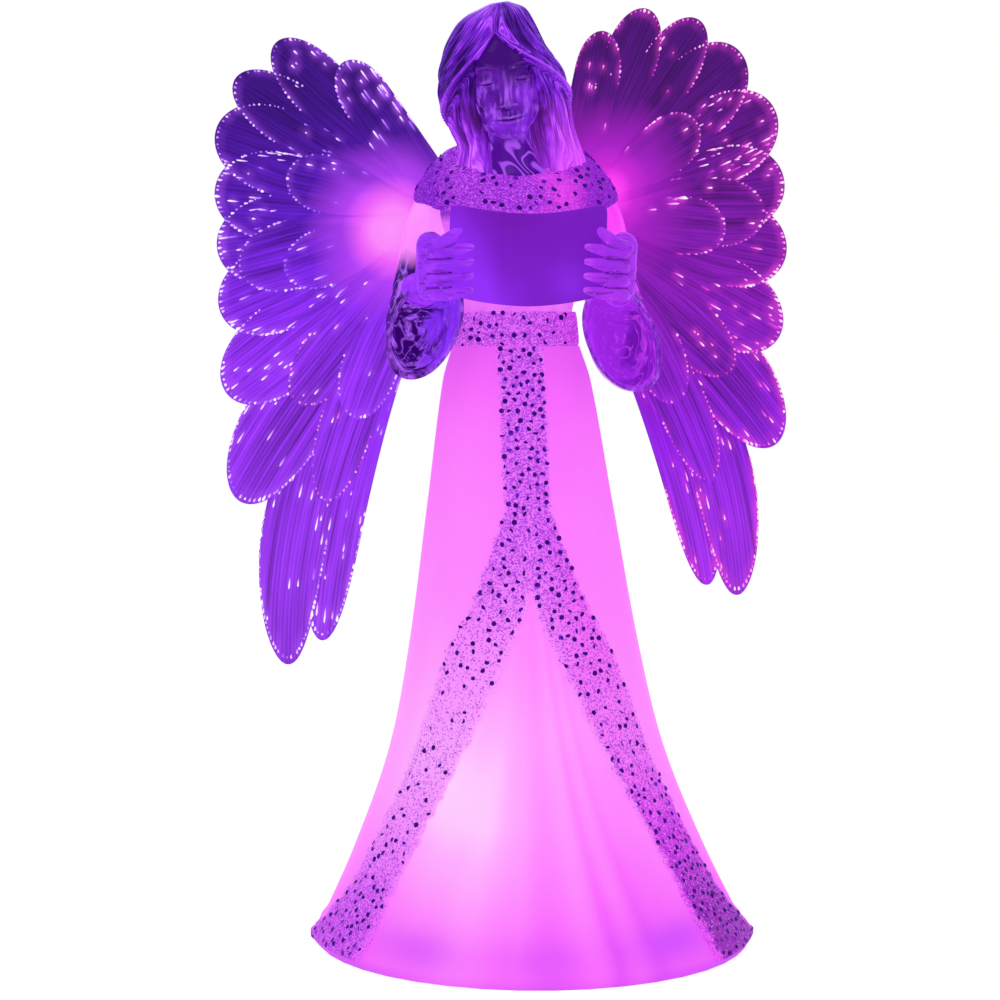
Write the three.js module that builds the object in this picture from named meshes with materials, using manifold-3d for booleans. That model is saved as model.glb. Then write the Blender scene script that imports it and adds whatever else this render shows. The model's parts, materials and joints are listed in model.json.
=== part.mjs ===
// A light-up angel figurine: a hollow lit skirt on a battery base, a clear upper body that holds an open
// book, and two wings of fibre feathers on plugs that turn in sockets on its back.
// Millimetres, +Z up. The figure faces -Y, and the origin is the middle of the base's underside.
import * as THREE from 'three';
import { mergeVertices } from 'three/addons/utils/BufferGeometryUtils.js';
import Module from 'manifold-3d';

const wasm = await Module();
wasm.setup();

// Fits and walls
const FIT_GAP = 0.35;
const WALL = 1.8;

// Base plate
const BASE_THICKNESS = 4;
const BASE_PROUD = 1;
const LIP_HEIGHT = 4;
const LIP_WIDTH = 1.6;
const SCREW_SHAFT = 3;
const SCREW_HEAD = 6;
const SCREW_HEAD_HEIGHT = 2;
const SCREW_LENGTH = 12;
const SCREW_RECESS = 0.5;
const POST_DIAMETER = 7.2;
const POST_HEIGHT = 22;
const POST_INSET = 12;

// Battery compartment, for three AAA cells that lie side by side
const CELL_DIAMETER = 10.5;
const CELL_LENGTH = 43.3;
const CELL_NUB_DIAMETER = 3.8;
const CELL_NUB_LENGTH = 1.2;
const CELL_COUNT = 3;
const CONTACT_THICKNESS = 0.6;
const CONTACT_HEIGHT = 8;
const TRAY_WALL = 1.2;
const TRAY_SETBACK = 27;
const DOOR_THICKNESS = 2;
const DOOR_RECESS = 0.4;
const DOOR_BARREL = 3;
const DOOR_PIN = 1.6;
const DOOR_PIN_REACH = 2;

// Switch
const SWITCH_X = -26;
const SWITCH_Y = -20;
const SWITCH_LENGTH = 14;
const SWITCH_WIDTH = 7;
const SWITCH_HEIGHT = 6;
const SLIDER_LENGTH = 5;
const SLIDER_WIDTH = 3;
const SLIDER_RECESS = 0.8;
const SLIDER_REACH = 2.5;
const SLIDER_TRAVEL = 3;

// Light board
const BOARD_LENGTH = 34;
const BOARD_WIDTH = 26;
const BOARD_THICKNESS = 1.6;
const LAMP_DIAMETER = 5;
const LAMP_HEIGHT = 7;
const LAMP_COUNT = 3;
const LAMP_PITCH = 10;
const LEAD_DIAMETER = 1.8;
const LEAD_INSET = 4;
const LEAD_RISE = 20;
const LEAD_BEND = 12;

// Skirt, with heights from the hem
const SKIRT_HEIGHT = 195.3;
const HEM_HALF_WIDTH = 71.2;
const FLARE_HEIGHT = 26.6;
const FLARE_HALF_WIDTH = 58.8;
const CALF_HEIGHT = 60;
const CALF_HALF_WIDTH = 46.2;
const KNEE_HEIGHT = 93.6;
const KNEE_HALF_WIDTH = 38.8;
const THIGH_HEIGHT = 144;
const THIGH_HALF_WIDTH = 30.9;
const HIP_DROP = 11.7;
const HIP_HALF_WIDTH = 24.8;
const WAIST_HALF_WIDTH = 21.3;
const HEM_DEPTH_RATIO = 1.12;
const WAIST_DEPTH_RATIO = 0.78;
const WAIST_LEAN = -5.4;
const FOLD_COUNT = 8;
const FOLD_DEPTH = 0.8;

// Glitter trim
const TRIM_THICKNESS = 1;
const TRIM_GAP = 0.45;
const HEM_SWELL = 2;
const HEM_SWELL_HEIGHT = 18;
const PLACKET_WIDTH = 15;
const PLACKET_DROP = 54;
const FORK_DROP = 80;
const BAND_TURN = -3;
// The front bands' edges, in degrees from the front at each height
const BAND_INNER = { hem: 51, flare: 46, calf: 32, knee: 12.5 };
const BAND_OUTER = { hem: 84, ankle: 74, flare: 69, calf: 58, knee: 45, fork: 29 };
const BELT_HEIGHT = 11.4;
const BELT_THICKNESS = 1.6;
const BELT_TAPER = 0.6;

// Torso, with heights from the waist
const BUST_HEIGHT = 30;
const BUST_HALF_WIDTH = 23.5;
const BUST_HALF_DEPTH = 18;
const SHOULDER_HEIGHT = 47;
const SHOULDER_HALF_WIDTH = 29.5;
const SHOULDER_HALF_DEPTH = 16;
const NECK_SEAT_RISE = 10;
const NECK_SEAT_HALF_WIDTH = 12.5;
const NECK_SEAT_HALF_DEPTH = 12.5;

// Cowl collar
const COLLAR_HALF_WIDTH = 34;
const COLLAR_HALF_DEPTH = 25;
const COLLAR_ROLL = 5.6;
const COLLAR_ROLL_HEIGHT = 3.4;
const COLLAR_SLOPE = 1.1;
const COLLAR_RISE = 9;
const COLLAR_DIP = 7;

// Head and hair, with heights from the foot of the neck
const HEAD_SHIFT = -0.4;
const HEAD_FORWARD = -2.5;
const HEAD_TILT = 9;
const HEAD_NOD = 8;
const NECK_DIAMETER = 15;
const NECK_PLUG = 6;
const CHIN_HEIGHT = 13;
const HEAD_HEIGHT = 40;
const HEAD_HALF_WIDTH = 14.8;
const FACE_DEPTH = 15.6;
const HEAD_BACK_DEPTH = 17;
const NOSE_RISE = 3.2;
const NOSE_SPREAD = 2.4;
const HAIR_FOOT = 1.5;
const HAIR_HALF_WIDTH = 22.8;
const HAIR_FRONT_DEPTH = 19;
const HAIR_BACK_DEPTH = 21.5;
const HAIR_RISE = 3.5;
const HAIR_LEAN = 3;
const FACE_OPENING = 27;
// The face's arch: shares of the head's height for its cheeks and peak, and its width at the foot
const CHEEK_SHARE = 0.25;
const PEAK_SHARE = 0.85;
const ARCH_FOOT_SHARE = 0.75;

// Book, in a frame at its middle that leans with it
const BOOK_HALF_WIDTH = 25;
const BOOK_HEIGHT = 30;
const BOOK_BOW = 4.5;
const BOOK_SAG = 2.5;
const COVER_THICKNESS = 1.4;
const PAGE_THICKNESS = 2.4;
const PAGE_MARGIN = 1.5;
const BOOK_RISE = 30.9;
const BOOK_REACH = -46;
const BOOK_LEAN = 15;

// Hands
const FINGER_DIAMETER = 4.5;
const FINGER_PITCH = 4.7;
const FINGER_COUNT = 4;
const FINGER_REACH = 6.5;
const FINGER_LIFT = 3;
const THUMB_DIAMETER = 4.7;
const PALM_THICKNESS = 9;
const PALM_GAP = 1.5;
const PALM_SETBACK = 3;
const PALM_TOP = 0.5;
const GRIP_GAP = 0.55;
const FINGER_TAPER = [1.1, 1.05, 1, 0.85];
const THUMB_TAPER = [1, 1, 0.85];
const THUMB_RISE = 6.4;
const WRIST_DIAMETER = 9;
const FOREARM_DIAMETER = 11;
// The forearm's bends, out, back and up from the palm's foot
const FOREARM_BENDS = [[0, 0, 7], [0.4, 8, 0], [1.2, 18, -5], [2.5, 27, -7]];

// Sleeves
const SLEEVE_TOP_HALF_WIDTH = 8.2;
const CUFF_HALF_WIDTH = 12.3;
const CUFF_HALF_HEIGHT = 17.5;
const SLEEVE_WALL = 1.6;
const UPPER_ARM_OUT = 29;
const ELBOW_OUT = 33;
const CUFF_OUT = 31.5;
const CUFF_REACH = -23;
const CUFF_LEAN = 0.28;
// How much lower and farther out each cuff hangs
const CUFF_HANG = {
  left: { drop: -1.5, out: 0 },
  right: { drop: 2.5, out: 1.5 },
};
// Where along the sleeve its hollow bell starts
const BELL_START = 0.56;

// Wings
const WING_SPACING = 40;
const WING_DROP = 1.7;
const WING_SETBACK = 32;
const WING_SWEEP = 25;
const HUB_CORE = 16;
const HUB_BACK_FLANGE = 26;
const HUB_FRONT_FLANGE = 22;
const HUB_FLANGE_THICKNESS = 1.6;
const PLUG_DIAMETER = 10;
const PLUG_LENGTH = 5;
const SOCKET_WALL = 2.2;
const SOCKET_FLOOR = 1.5;
const BRACKET_HEIGHT = 12;
const BRACKET_DEPTH = 4;
const FEATHER_THICKNESS = 0.5;
const FEATHER_LAYER = 0.9;
const FAN_THICKNESS = 0.9;
const FAN_STEP = 0.6;
const STEM_WIDTH = 5;
// Where along its length a feather is widest
const FEATHER_BELLY = 0.72;
const COVERT_LAYERS = 3;

// Each feather's place in the fan (0 lowest, 1 highest), its length on the left and right wing and its width,
// and where they aren't plain its outward bend and the width of its stem
const FAN_FEATHERS = [
  { place: 1.01, left: 66, right: 65, width: 18, stem: 17 },
  { place: 0.925, left: 89, right: 79, width: 21 },
  { place: 0.825, left: 94.5, right: 88, width: 22 },
  { place: 0.73, left: 94, right: 93, width: 30 },
  { place: 0.62, left: 90, right: 95.5, width: 31 },
  { place: 0.51, left: 89.5, right: 92.5, width: 31 },
  { place: 0.395, left: 94, right: 93.5, width: 31 },
  { place: 0.27, left: 106, right: 99.5, width: 31 },
];
const LONG_FEATHERS = [
  { name: 'upper', place: 0.145, left: 129.5, right: 121, width: 31, bend: 4 },
  { name: 'middle', place: 0, left: 171, right: 154.5, width: 26, bend: 17 },
  { name: 'lower', place: -0.028, left: 158, right: 145, width: 20, bend: 9, stem: 12 },
];
const COVERT_FEATHERS = [
  { name: 'shoulder', place: 0.68, left: 62.5, right: 62.5, width: 20, layer: 0 },
  { name: 'hanging', place: 0.166, left: 87.5, right: 87.5, width: 22, layer: 0 },
  { name: 'wide', place: 0.46, left: 81.5, right: 81.5, width: 24, layer: 1 },
  { name: 'trailing', place: 0.025, left: 111, right: 111, width: 20, bend: 4, layer: 1 },
  { name: 'short', place: 0.42, left: 64, right: 64, width: 20, layer: 2 },
  { name: 'inner', place: 0.04, left: 79, right: 79, width: 21, bend: 2, layer: 2 },
];
// The two wings hang differently: the lowest angle and the fan's spread
const WING_SETTINGS = {
  left: { side: -1, lowest: -68, spread: 119.5 },
  right: { side: 1, lowest: -61, spread: 136 },
};

// Facets around each round form
const SKIRT_FACETS = 40;
const BODY_FACETS = 28;
const HEAD_FACETS = 26;
const LIMB_FACETS = 8;
const ROUND_FACETS = 14;
const COLLAR_FACETS = 10;
const SLEEVE_FACETS = 18;
const HUB_FACETS = 24;
const FEATHER_SEGMENTS = 6;

// Longer than anything here, for tools that cut all the way through
const FAR = 400;

// Finishes
const FROSTED = { color: 0xf6a8ff, roughness: 0.5, metalness: 0 };
const CLEAR = { color: 0x8a2bd8, roughness: 0.12, metalness: 0 };
const GLITTER = { color: 0xc850eb, roughness: 0.6, metalness: 0.2 };
const FIBRE = { color: 0x5a1ec8, roughness: 0.4, metalness: 0 };
const BOOK_FROST = { color: 0x7a22d0, roughness: 0.45, metalness: 0 };
const WHITE_PLASTIC = { color: 0xe9e4ee, roughness: 0.5, metalness: 0 };
const DARK_PLASTIC = { color: 0x2a2730, roughness: 0.5, metalness: 0 };
const STEEL = { color: 0xb8bac0, roughness: 0.35, metalness: 1 };
const CELL_WRAP = { color: 0x37506e, roughness: 0.35, metalness: 0.3 };
const BOARD_GREEN = { color: 0x1f6b3a, roughness: 0.5, metalness: 0 };
const LAMP_CLEAR = { color: 0xffe6ff, roughness: 0.1, metalness: 0 };

const radians = THREE.MathUtils.degToRad;
const point = (x, y, z) => new THREE.Vector3(x, y, z);
const moved = (geometry, x, y, z) => geometry.clone().translate(x, y, z);

function mesh(name, geometry, finish) {
  const made = new THREE.Mesh(geometry, new THREE.MeshStandardMaterial(finish));
  made.name = name;
  return made;
}

// A smooth curve through [position, value] pairs, as a function of the position
function profile(pairs) {
  const slope = (i) => {
    const before = pairs[Math.max(i - 1, 0)];
    const after = pairs[Math.min(i + 1, pairs.length - 1)];
    return (after[1] - before[1]) / (after[0] - before[0]);
  };
  return (position) => {
    const at = THREE.MathUtils.clamp(position, pairs[0][0], pairs[pairs.length - 1][0]);
    const i = Math.min(pairs.findLastIndex((pair) => pair[0] <= at), pairs.length - 2);
    const span = pairs[i + 1][0] - pairs[i][0];
    const t = (at - pairs[i][0]) / span;
    const rise = pairs[i + 1][1] - pairs[i][1];
    const ease = t * t * (3 - 2 * t);
    const leave = slope(i) * span * t * (1 - t) ** 2;
    const arrive = slope(i + 1) * span * t * t * (t - 1);
    return pairs[i][1] + rise * ease + leave + arrive;
  };
}

// Evenly spaced values from first to last
function steps(first, last, count) {
  return Array.from({ length: count + 1 }, (_, i) => first + ((last - first) * i) / count);
}

// A geometry from points and faces, turned so that its faces point out
function closedGeometry(points, faces) {
  let volume = 0;
  for (let i = 0; i < faces.length; i += 3) {
    const [a, b, c] = [points[faces[i]], points[faces[i + 1]], points[faces[i + 2]]];
    volume += a.dot(point(0, 0, 0).crossVectors(b, c));
  }
  const geometry = new THREE.BufferGeometry().setFromPoints(points);
  geometry.setIndex(volume > 0 ? faces : faces.toReversed());
  return geometry;
}

// A skin over rings of points, capped at both ends, or joined into a loop
function loft(rings, looped = false) {
  const count = rings[0].length;
  const points = rings.flat();
  const faces = [];
  const spans = looped ? rings.length : rings.length - 1;
  for (let level = 0; level < spans; level += 1) {
    const low = level * count;
    const high = ((level + 1) % rings.length) * count;
    for (let i = 0; i < count; i += 1) {
      const next = (i + 1) % count;
      faces.push(low + i, low + next, high + next, low + i, high + next, high + i);
    }
  }
  if (!looped) {
    [0, rings.length - 1].forEach((level) => {
      const middle = points.length;
      const centre = rings[level].reduce((sum, p) => sum.add(p), point(0, 0, 0)).divideScalar(count);
      points.push(centre);
      for (let i = 0; i < count; i += 1) {
        const a = level * count + i;
        const b = level * count + ((i + 1) % count);
        faces.push(...(level === 0 ? [middle, b, a] : [middle, a, b]));
      }
    });
  }
  return closedGeometry(points, faces);
}

// A thin plate between an outer and an inner surface, each a function of (across, along)
function plate(acrossSteps, alongSteps, outer, inner) {
  const grid = (surface) => alongSteps.flatMap((v) => acrossSteps.map((u) => surface(u, v)));
  const width = acrossSteps.length;
  const size = width * alongSteps.length;
  const points = [...grid(outer), ...grid(inner)];
  const faces = [];
  const quad = (a, b, c, d) => faces.push(a, b, c, a, c, d);
  for (let j = 0; j + 1 < alongSteps.length; j += 1) {
    for (let i = 0; i + 1 < width; i += 1) {
      const a = j * width + i;
      quad(a, a + 1, a + width + 1, a + width);
      quad(size + a, size + a + width, size + a + width + 1, size + a + 1);
    }
  }
  for (let i = 0; i + 1 < width; i += 1) {
    const last = size - width + i;
    quad(i + 1, i, size + i, size + i + 1);
    quad(last, last + 1, size + last + 1, size + last);
  }
  for (let j = 0; j + 1 < alongSteps.length; j += 1) {
    const first = j * width;
    const end = first + width - 1;
    quad(first, first + width, size + first + width, size + first);
    quad(end + width, end, size + end, size + end + width);
  }
  return closedGeometry(points, faces);
}

// A round limb along a smooth path, with domed ends
function limb(path, diameters, stepCount = 6, facets = LIMB_FACETS) {
  const curve = new THREE.CatmullRomCurve3(path);
  const frames = curve.computeFrenetFrames(stepCount, false);
  const radiusAt = (t) => {
    const place = t * (diameters.length - 1);
    const i = Math.min(Math.floor(place), diameters.length - 2);
    return THREE.MathUtils.lerp(diameters[i], diameters[i + 1], place - i) / 2;
  };
  const ring = (step, swell, along) => {
    const t = step / stepCount;
    const radius = radiusAt(t);
    const centre = curve.getPointAt(t).addScaledVector(frames.tangents[step], radius * along);
    return Array.from({ length: facets }, (_, i) => {
      const angle = (2 * Math.PI * i) / facets;
      return centre.clone()
        .addScaledVector(frames.normals[step], radius * swell * Math.cos(angle))
        .addScaledVector(frames.binormals[step], radius * swell * Math.sin(angle));
    });
  };
  const body = steps(0, stepCount, stepCount).map((step) => ring(step, 1, 0));
  const dome = [[0.8, 0.55], [0.4, 0.85]];
  const start = dome.map(([swell, along]) => ring(0, swell, -along)).reverse();
  const end = dome.map(([swell, along]) => ring(stepCount, swell, along));
  return loft([...start, ...body, ...end]);
}

// A turned form from [radius, height] pairs that start and end on the axis, standing along Z
function turned(pairs, facets = ROUND_FACETS) {
  const outline = pairs.map(([radius, height]) => new THREE.Vector2(radius, height));
  return new THREE.LatheGeometry(outline, facets).rotateX(Math.PI / 2);
}

function cylinder(diameter, low, high, facets = ROUND_FACETS) {
  return turned([[0, low], [diameter / 2, low], [diameter / 2, high], [0, high]], facets);
}

function box(low, high) {
  const size = high.map((value, i) => value - low[i]);
  const middle = high.map((value, i) => (value + low[i]) / 2);
  return new THREE.BoxGeometry(...size).translate(...middle);
}

function toSolid(geometry) {
  const bare = geometry.clone();
  bare.deleteAttribute('normal');
  bare.deleteAttribute('uv');
  const merged = mergeVertices(bare, 1e-4);
  const vertProperties = new Float32Array(merged.attributes.position.array);
  const triVerts = new Uint32Array(merged.index.array);
  return new wasm.Manifold(new wasm.Mesh({ numProp: 3, vertProperties, triVerts }));
}

function toGeometry(solid) {
  const { vertProperties, triVerts } = solid.getMesh();
  const geometry = new THREE.BufferGeometry();
  geometry.setAttribute('position', new THREE.BufferAttribute(vertProperties, 3));
  geometry.setIndex(new THREE.BufferAttribute(triVerts, 1));
  return geometry;
}

const combine = (method) => (first, ...others) =>
  toGeometry(others.reduce((sum, other) => sum[method](toSolid(other)), toSolid(first)));
const cut = combine('subtract');
const join = combine('add');
const overlap = combine('intersect');

// Heights of the stacked pieces
const HEM_Z = BASE_THICKNESS + FIT_GAP;
const WAIST_Z = HEM_Z + SKIRT_HEIGHT;
const SHIFT_TO_BODY = point(WAIST_LEAN, 0, WAIST_Z);
const TORSO_HEIGHT = SHOULDER_HEIGHT + NECK_SEAT_RISE;
const COLLAR_SIDE_HEIGHT = SHOULDER_HEIGHT + COLLAR_RISE;
const WING_HEIGHT = SHOULDER_HEIGHT - WING_DROP;

// Skirt
const skirtHalfWidth = profile([
  [0, HEM_HALF_WIDTH],
  [FLARE_HEIGHT, FLARE_HALF_WIDTH],
  [CALF_HEIGHT, CALF_HALF_WIDTH],
  [KNEE_HEIGHT, KNEE_HALF_WIDTH],
  [THIGH_HEIGHT, THIGH_HALF_WIDTH],
  [SKIRT_HEIGHT - HIP_DROP, HIP_HALF_WIDTH],
  [SKIRT_HEIGHT, WAIST_HALF_WIDTH],
]);

// A point on the skirt: the angle is 0 at the front and grows towards +X, and inset goes into the wall
function skirtPoint(angle, height, inset = 0) {
  const rise = THREE.MathUtils.clamp(height / SKIRT_HEIGHT, 0, 1);
  const fold = FOLD_DEPTH * (1 - rise) ** 2 * Math.cos(FOLD_COUNT * angle);
  const half = skirtHalfWidth(height) + fold - inset;
  const depth = THREE.MathUtils.lerp(HEM_DEPTH_RATIO, WAIST_DEPTH_RATIO, rise);
  return point(WAIST_LEAN * rise + half * Math.sin(angle), -half * depth * Math.cos(angle), HEM_Z + height);
}

function skirtLoft(low, high, inset, levels) {
  const angles = steps(0, 2 * Math.PI, SKIRT_FACETS).slice(1);
  return loft(steps(low, high, levels).map((height) =>
    angles.map((angle) => skirtPoint(angle, height, inset))));
}

// The base screws stand in posts inside the hem
const SCREW_PLACES = [45, 135, 225, 315].map((degrees) => {
  const reach = HEM_HALF_WIDTH - POST_INSET;
  return [reach * Math.sin(radians(degrees)), -reach * HEM_DEPTH_RATIO * Math.cos(radians(degrees))];
});
const PILOT = SCREW_SHAFT + 2 * FIT_GAP;

function makeSkirt() {
  const outer = skirtLoft(0, SKIRT_HEIGHT, 0, 10);
  const posts = SCREW_PLACES.map(([x, y]) =>
    overlap(moved(cylinder(POST_DIAMETER, HEM_Z, HEM_Z + POST_HEIGHT), x, y, 0), outer));
  const pilots = SCREW_PLACES.map(([x, y]) =>
    moved(cylinder(PILOT, 0, SCREW_RECESS + SCREW_LENGTH + 1), x, y, 0));
  const hollow = skirtLoft(-1, SKIRT_HEIGHT - WALL, WALL, 10);
  const seat = moved(torsoLoft(-2 * WALL, -2 * WALL, 2 * WALL), WAIST_LEAN, 0, WAIST_Z);
  return cut(join(cut(outer, hollow, seat), ...posts), ...pilots);
}

// Glitter trim on the skirt, from edges given as [height, degrees from the front]
function skirtTrim(heights, innerEdge, outerEdge, side, turnAt, swellAt) {
  const across = steps(0, 1, 4);
  const surface = (liftAt) => (u, height) => {
    const angle = THREE.MathUtils.lerp(innerEdge(height), outerEdge(height), u);
    return skirtPoint(side * angle + turnAt(height), height, -liftAt(height));
  };
  const outer = (height) => TRIM_GAP + TRIM_THICKNESS + swellAt(height);
  return plate(across, heights, surface(outer), surface(() => TRIM_GAP));
}

const angleFor = (across, height) => Math.asin(across / skirtHalfWidth(height));

function makePlacket() {
  const top = SKIRT_HEIGHT - FIT_GAP;
  const foot = SKIRT_HEIGHT - PLACKET_DROP + FIT_GAP;
  const edge = (height) => angleFor(PLACKET_WIDTH / 2, height);
  return skirtTrim(steps(foot, top, 8), (height) => -edge(height), edge, 1, () => 0, () => 0);
}

function makeFrontBand(side) {
  const top = SKIRT_HEIGHT - PLACKET_DROP;
  const fork = SKIRT_HEIGHT - FORK_DROP;
  const parting = angleFor(FIT_GAP / 2, fork);
  const inner = profile([
    [0, radians(BAND_INNER.hem)],
    [FLARE_HEIGHT, radians(BAND_INNER.flare)],
    [CALF_HEIGHT, radians(BAND_INNER.calf)],
    [KNEE_HEIGHT, radians(BAND_INNER.knee)],
    [fork, parting],
    [top, parting],
  ]);
  const outer = profile([
    [0, radians(BAND_OUTER.hem)],
    [FLARE_HEIGHT / 2, radians(BAND_OUTER.ankle)],
    [FLARE_HEIGHT, radians(BAND_OUTER.flare)],
    [CALF_HEIGHT, radians(BAND_OUTER.calf)],
    [KNEE_HEIGHT, radians(BAND_OUTER.knee)],
    [fork, radians(BAND_OUTER.fork)],
    [top, angleFor(PLACKET_WIDTH / 2, top)],
  ]);
  const innerEdge = (height) => Math.max(inner(height), parting);
  const turnAt = (height) => radians(BAND_TURN) * (1 - height / top);
  const swellAt = (height) => HEM_SWELL * Math.max(1 - height / HEM_SWELL_HEIGHT, 0);
  return skirtTrim(steps(0, top, 14), innerEdge, outer, side, turnAt, swellAt);
}

// Base and what it carries
const TRAY_LENGTH = CELL_LENGTH + CELL_NUB_LENGTH + 2 * CONTACT_THICKNESS + 4 * FIT_GAP;
const CELL_PITCH = CELL_DIAMETER + FIT_GAP;
const TRAY_WIDTH = CELL_COUNT * CELL_PITCH + FIT_GAP + DOOR_BARREL;
const TRAY_DEPTH = CELL_DIAMETER + 2 * FIT_GAP;
const TRAY_Z = BASE_THICKNESS + FIT_GAP;
const TRAY_FRONT = TRAY_SETBACK - TRAY_WIDTH / 2;
const HINGE_Y = TRAY_FRONT + FIT_GAP + DOOR_BARREL / 2;
const HINGE_Z = DOOR_RECESS + DOOR_BARREL / 2;
const BOARD_Z = TRAY_Z + TRAY_DEPTH + TRAY_WALL + FIT_GAP;
const SLOT_LENGTH = SLIDER_LENGTH + SLIDER_TRAVEL + 2 * FIT_GAP;
const SLOT_WIDTH = SLIDER_WIDTH + 2 * FIT_GAP;
const SWITCH_Z = BASE_THICKNESS + FIT_GAP;

function ellipseRing(halfWidth, halfDepth, low, high, facets = SKIRT_FACETS) {
  const outline = new THREE.Shape();
  outline.absellipse(0, 0, halfWidth, halfDepth, 0, 2 * Math.PI);
  const settings = { depth: high - low, bevelEnabled: false, curveSegments: facets / 2 };
  return new THREE.ExtrudeGeometry(outline, settings).translate(0, 0, low);
}

function makeBasePlate() {
  const rimWidth = HEM_HALF_WIDTH + BASE_PROUD;
  const rimDepth = HEM_HALF_WIDTH * HEM_DEPTH_RATIO + BASE_PROUD;
  const lipWidth = skirtHalfWidth(LIP_HEIGHT) - FOLD_DEPTH - WALL - FIT_GAP;
  const lipTop = BASE_THICKNESS + LIP_HEIGHT;
  const lip = cut(
    ellipseRing(lipWidth, lipWidth * HEM_DEPTH_RATIO - FIT_GAP, BASE_THICKNESS - 1, lipTop),
    ellipseRing(lipWidth - LIP_WIDTH, lipWidth * HEM_DEPTH_RATIO - FIT_GAP - LIP_WIDTH, 0, lipTop + 1),
    ...SCREW_PLACES.map(([x, y]) =>
      moved(cylinder(POST_DIAMETER + 2 * FIT_GAP, BASE_THICKNESS, lipTop + 1), x, y, 0)),
  );
  const opening = box(
    [-TRAY_LENGTH / 2, TRAY_FRONT, -1],
    [TRAY_LENGTH / 2, TRAY_FRONT + TRAY_WIDTH, BASE_THICKNESS + 1],
  );
  const pinReach = TRAY_LENGTH / 2 + DOOR_PIN_REACH;
  const pinBore = cylinder(DOOR_PIN + 2 * FIT_GAP, -pinReach, pinReach)
    .rotateY(Math.PI / 2)
    .translate(0, HINGE_Y, HINGE_Z);
  const slot = box(
    [SWITCH_X - SLOT_LENGTH / 2, SWITCH_Y - SLOT_WIDTH / 2, -1],
    [SWITCH_X + SLOT_LENGTH / 2, SWITCH_Y + SLOT_WIDTH / 2, BASE_THICKNESS + 1],
  );
  const screwHoles = SCREW_PLACES.flatMap(([x, y]) => [
    moved(cylinder(PILOT, -1, BASE_THICKNESS + 1), x, y, 0),
    moved(cylinder(SCREW_HEAD + 2 * FIT_GAP, -1, SCREW_RECESS + SCREW_HEAD_HEIGHT + FIT_GAP), x, y, 0),
  ]);
  const disc = ellipseRing(rimWidth, rimDepth, 0, BASE_THICKNESS);
  return cut(join(disc, lip), opening, pinBore, slot, ...screwHoles);
}

function makeTray() {
  const half = TRAY_LENGTH / 2;
  const back = TRAY_FRONT + TRAY_WIDTH;
  return cut(
    box([-half - TRAY_WALL, TRAY_FRONT - TRAY_WALL, TRAY_Z],
      [half + TRAY_WALL, back + TRAY_WALL, TRAY_Z + TRAY_DEPTH + TRAY_WALL]),
    box([-half, TRAY_FRONT, TRAY_Z - 1], [half, back, TRAY_Z + TRAY_DEPTH]),
  );
}

function makeDoor() {
  const half = TRAY_LENGTH / 2 - FIT_GAP;
  const pinEnd = TRAY_LENGTH / 2 + DOOR_PIN_REACH - FIT_GAP;
  const along = (geometry) => geometry.rotateY(Math.PI / 2).translate(0, HINGE_Y, HINGE_Z);
  return join(
    box([-half, HINGE_Y, DOOR_RECESS],
      [half, TRAY_FRONT + TRAY_WIDTH - FIT_GAP, DOOR_RECESS + DOOR_THICKNESS]),
    along(cylinder(DOOR_BARREL, -half, half, 12)),
    along(cylinder(DOOR_PIN, -pinEnd, pinEnd, 12)),
  );
}

const cellY = (index) => TRAY_FRONT + TRAY_WIDTH - FIT_GAP - CELL_DIAMETER / 2 - index * CELL_PITCH;
const CELL_Z = TRAY_Z + TRAY_DEPTH - FIT_GAP - CELL_DIAMETER / 2;

function makeCell(index) {
  const start = -(CELL_LENGTH + CELL_NUB_LENGTH) / 2;
  const shoulder = start + CELL_LENGTH;
  const cell = turned([
    [0, start], [CELL_DIAMETER / 2, start], [CELL_DIAMETER / 2, shoulder],
    [CELL_NUB_DIAMETER / 2, shoulder], [CELL_NUB_DIAMETER / 2, shoulder + CELL_NUB_LENGTH],
    [0, shoulder + CELL_NUB_LENGTH],
  ], 16);
  const turn = index % 2 === 0 ? Math.PI / 2 : -Math.PI / 2;
  return cell.rotateY(turn).translate(0, cellY(index), CELL_Z);
}

function makeContact(side) {
  const outside = TRAY_LENGTH / 2 - FIT_GAP;
  const inside = outside - CONTACT_THICKNESS;
  const low = cellY(CELL_COUNT - 1) - CELL_DIAMETER / 2;
  const high = cellY(0) + CELL_DIAMETER / 2;
  const foot = CELL_Z - CONTACT_HEIGHT / 2;
  return side < 0
    ? box([-outside, low, foot], [-inside, high, foot + CONTACT_HEIGHT])
    : box([inside, low, foot], [outside, high, foot + CONTACT_HEIGHT]);
}

function makeScrew([x, y]) {
  const neck = SCREW_RECESS + SCREW_HEAD_HEIGHT;
  const head = turned([
    [0, SCREW_RECESS], [SCREW_HEAD / 2, SCREW_RECESS], [SCREW_HEAD / 2, neck],
    [SCREW_SHAFT / 2, neck], [SCREW_SHAFT / 2, SCREW_RECESS + SCREW_LENGTH],
    [0, SCREW_RECESS + SCREW_LENGTH],
  ], 12);
  return moved(head, x, y, 0);
}

function makeSwitchBody() {
  const pocket = box(
    [-SLOT_LENGTH / 2, -SLOT_WIDTH / 2, SWITCH_Z - 1],
    [SLOT_LENGTH / 2, SLOT_WIDTH / 2, SWITCH_Z + SLIDER_REACH + FIT_GAP],
  );
  const casing = box(
    [-SWITCH_LENGTH / 2, -SWITCH_WIDTH / 2, SWITCH_Z],
    [SWITCH_LENGTH / 2, SWITCH_WIDTH / 2, SWITCH_Z + SWITCH_HEIGHT],
  );
  return cut(casing, pocket).translate(SWITCH_X, SWITCH_Y, 0);
}

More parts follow.
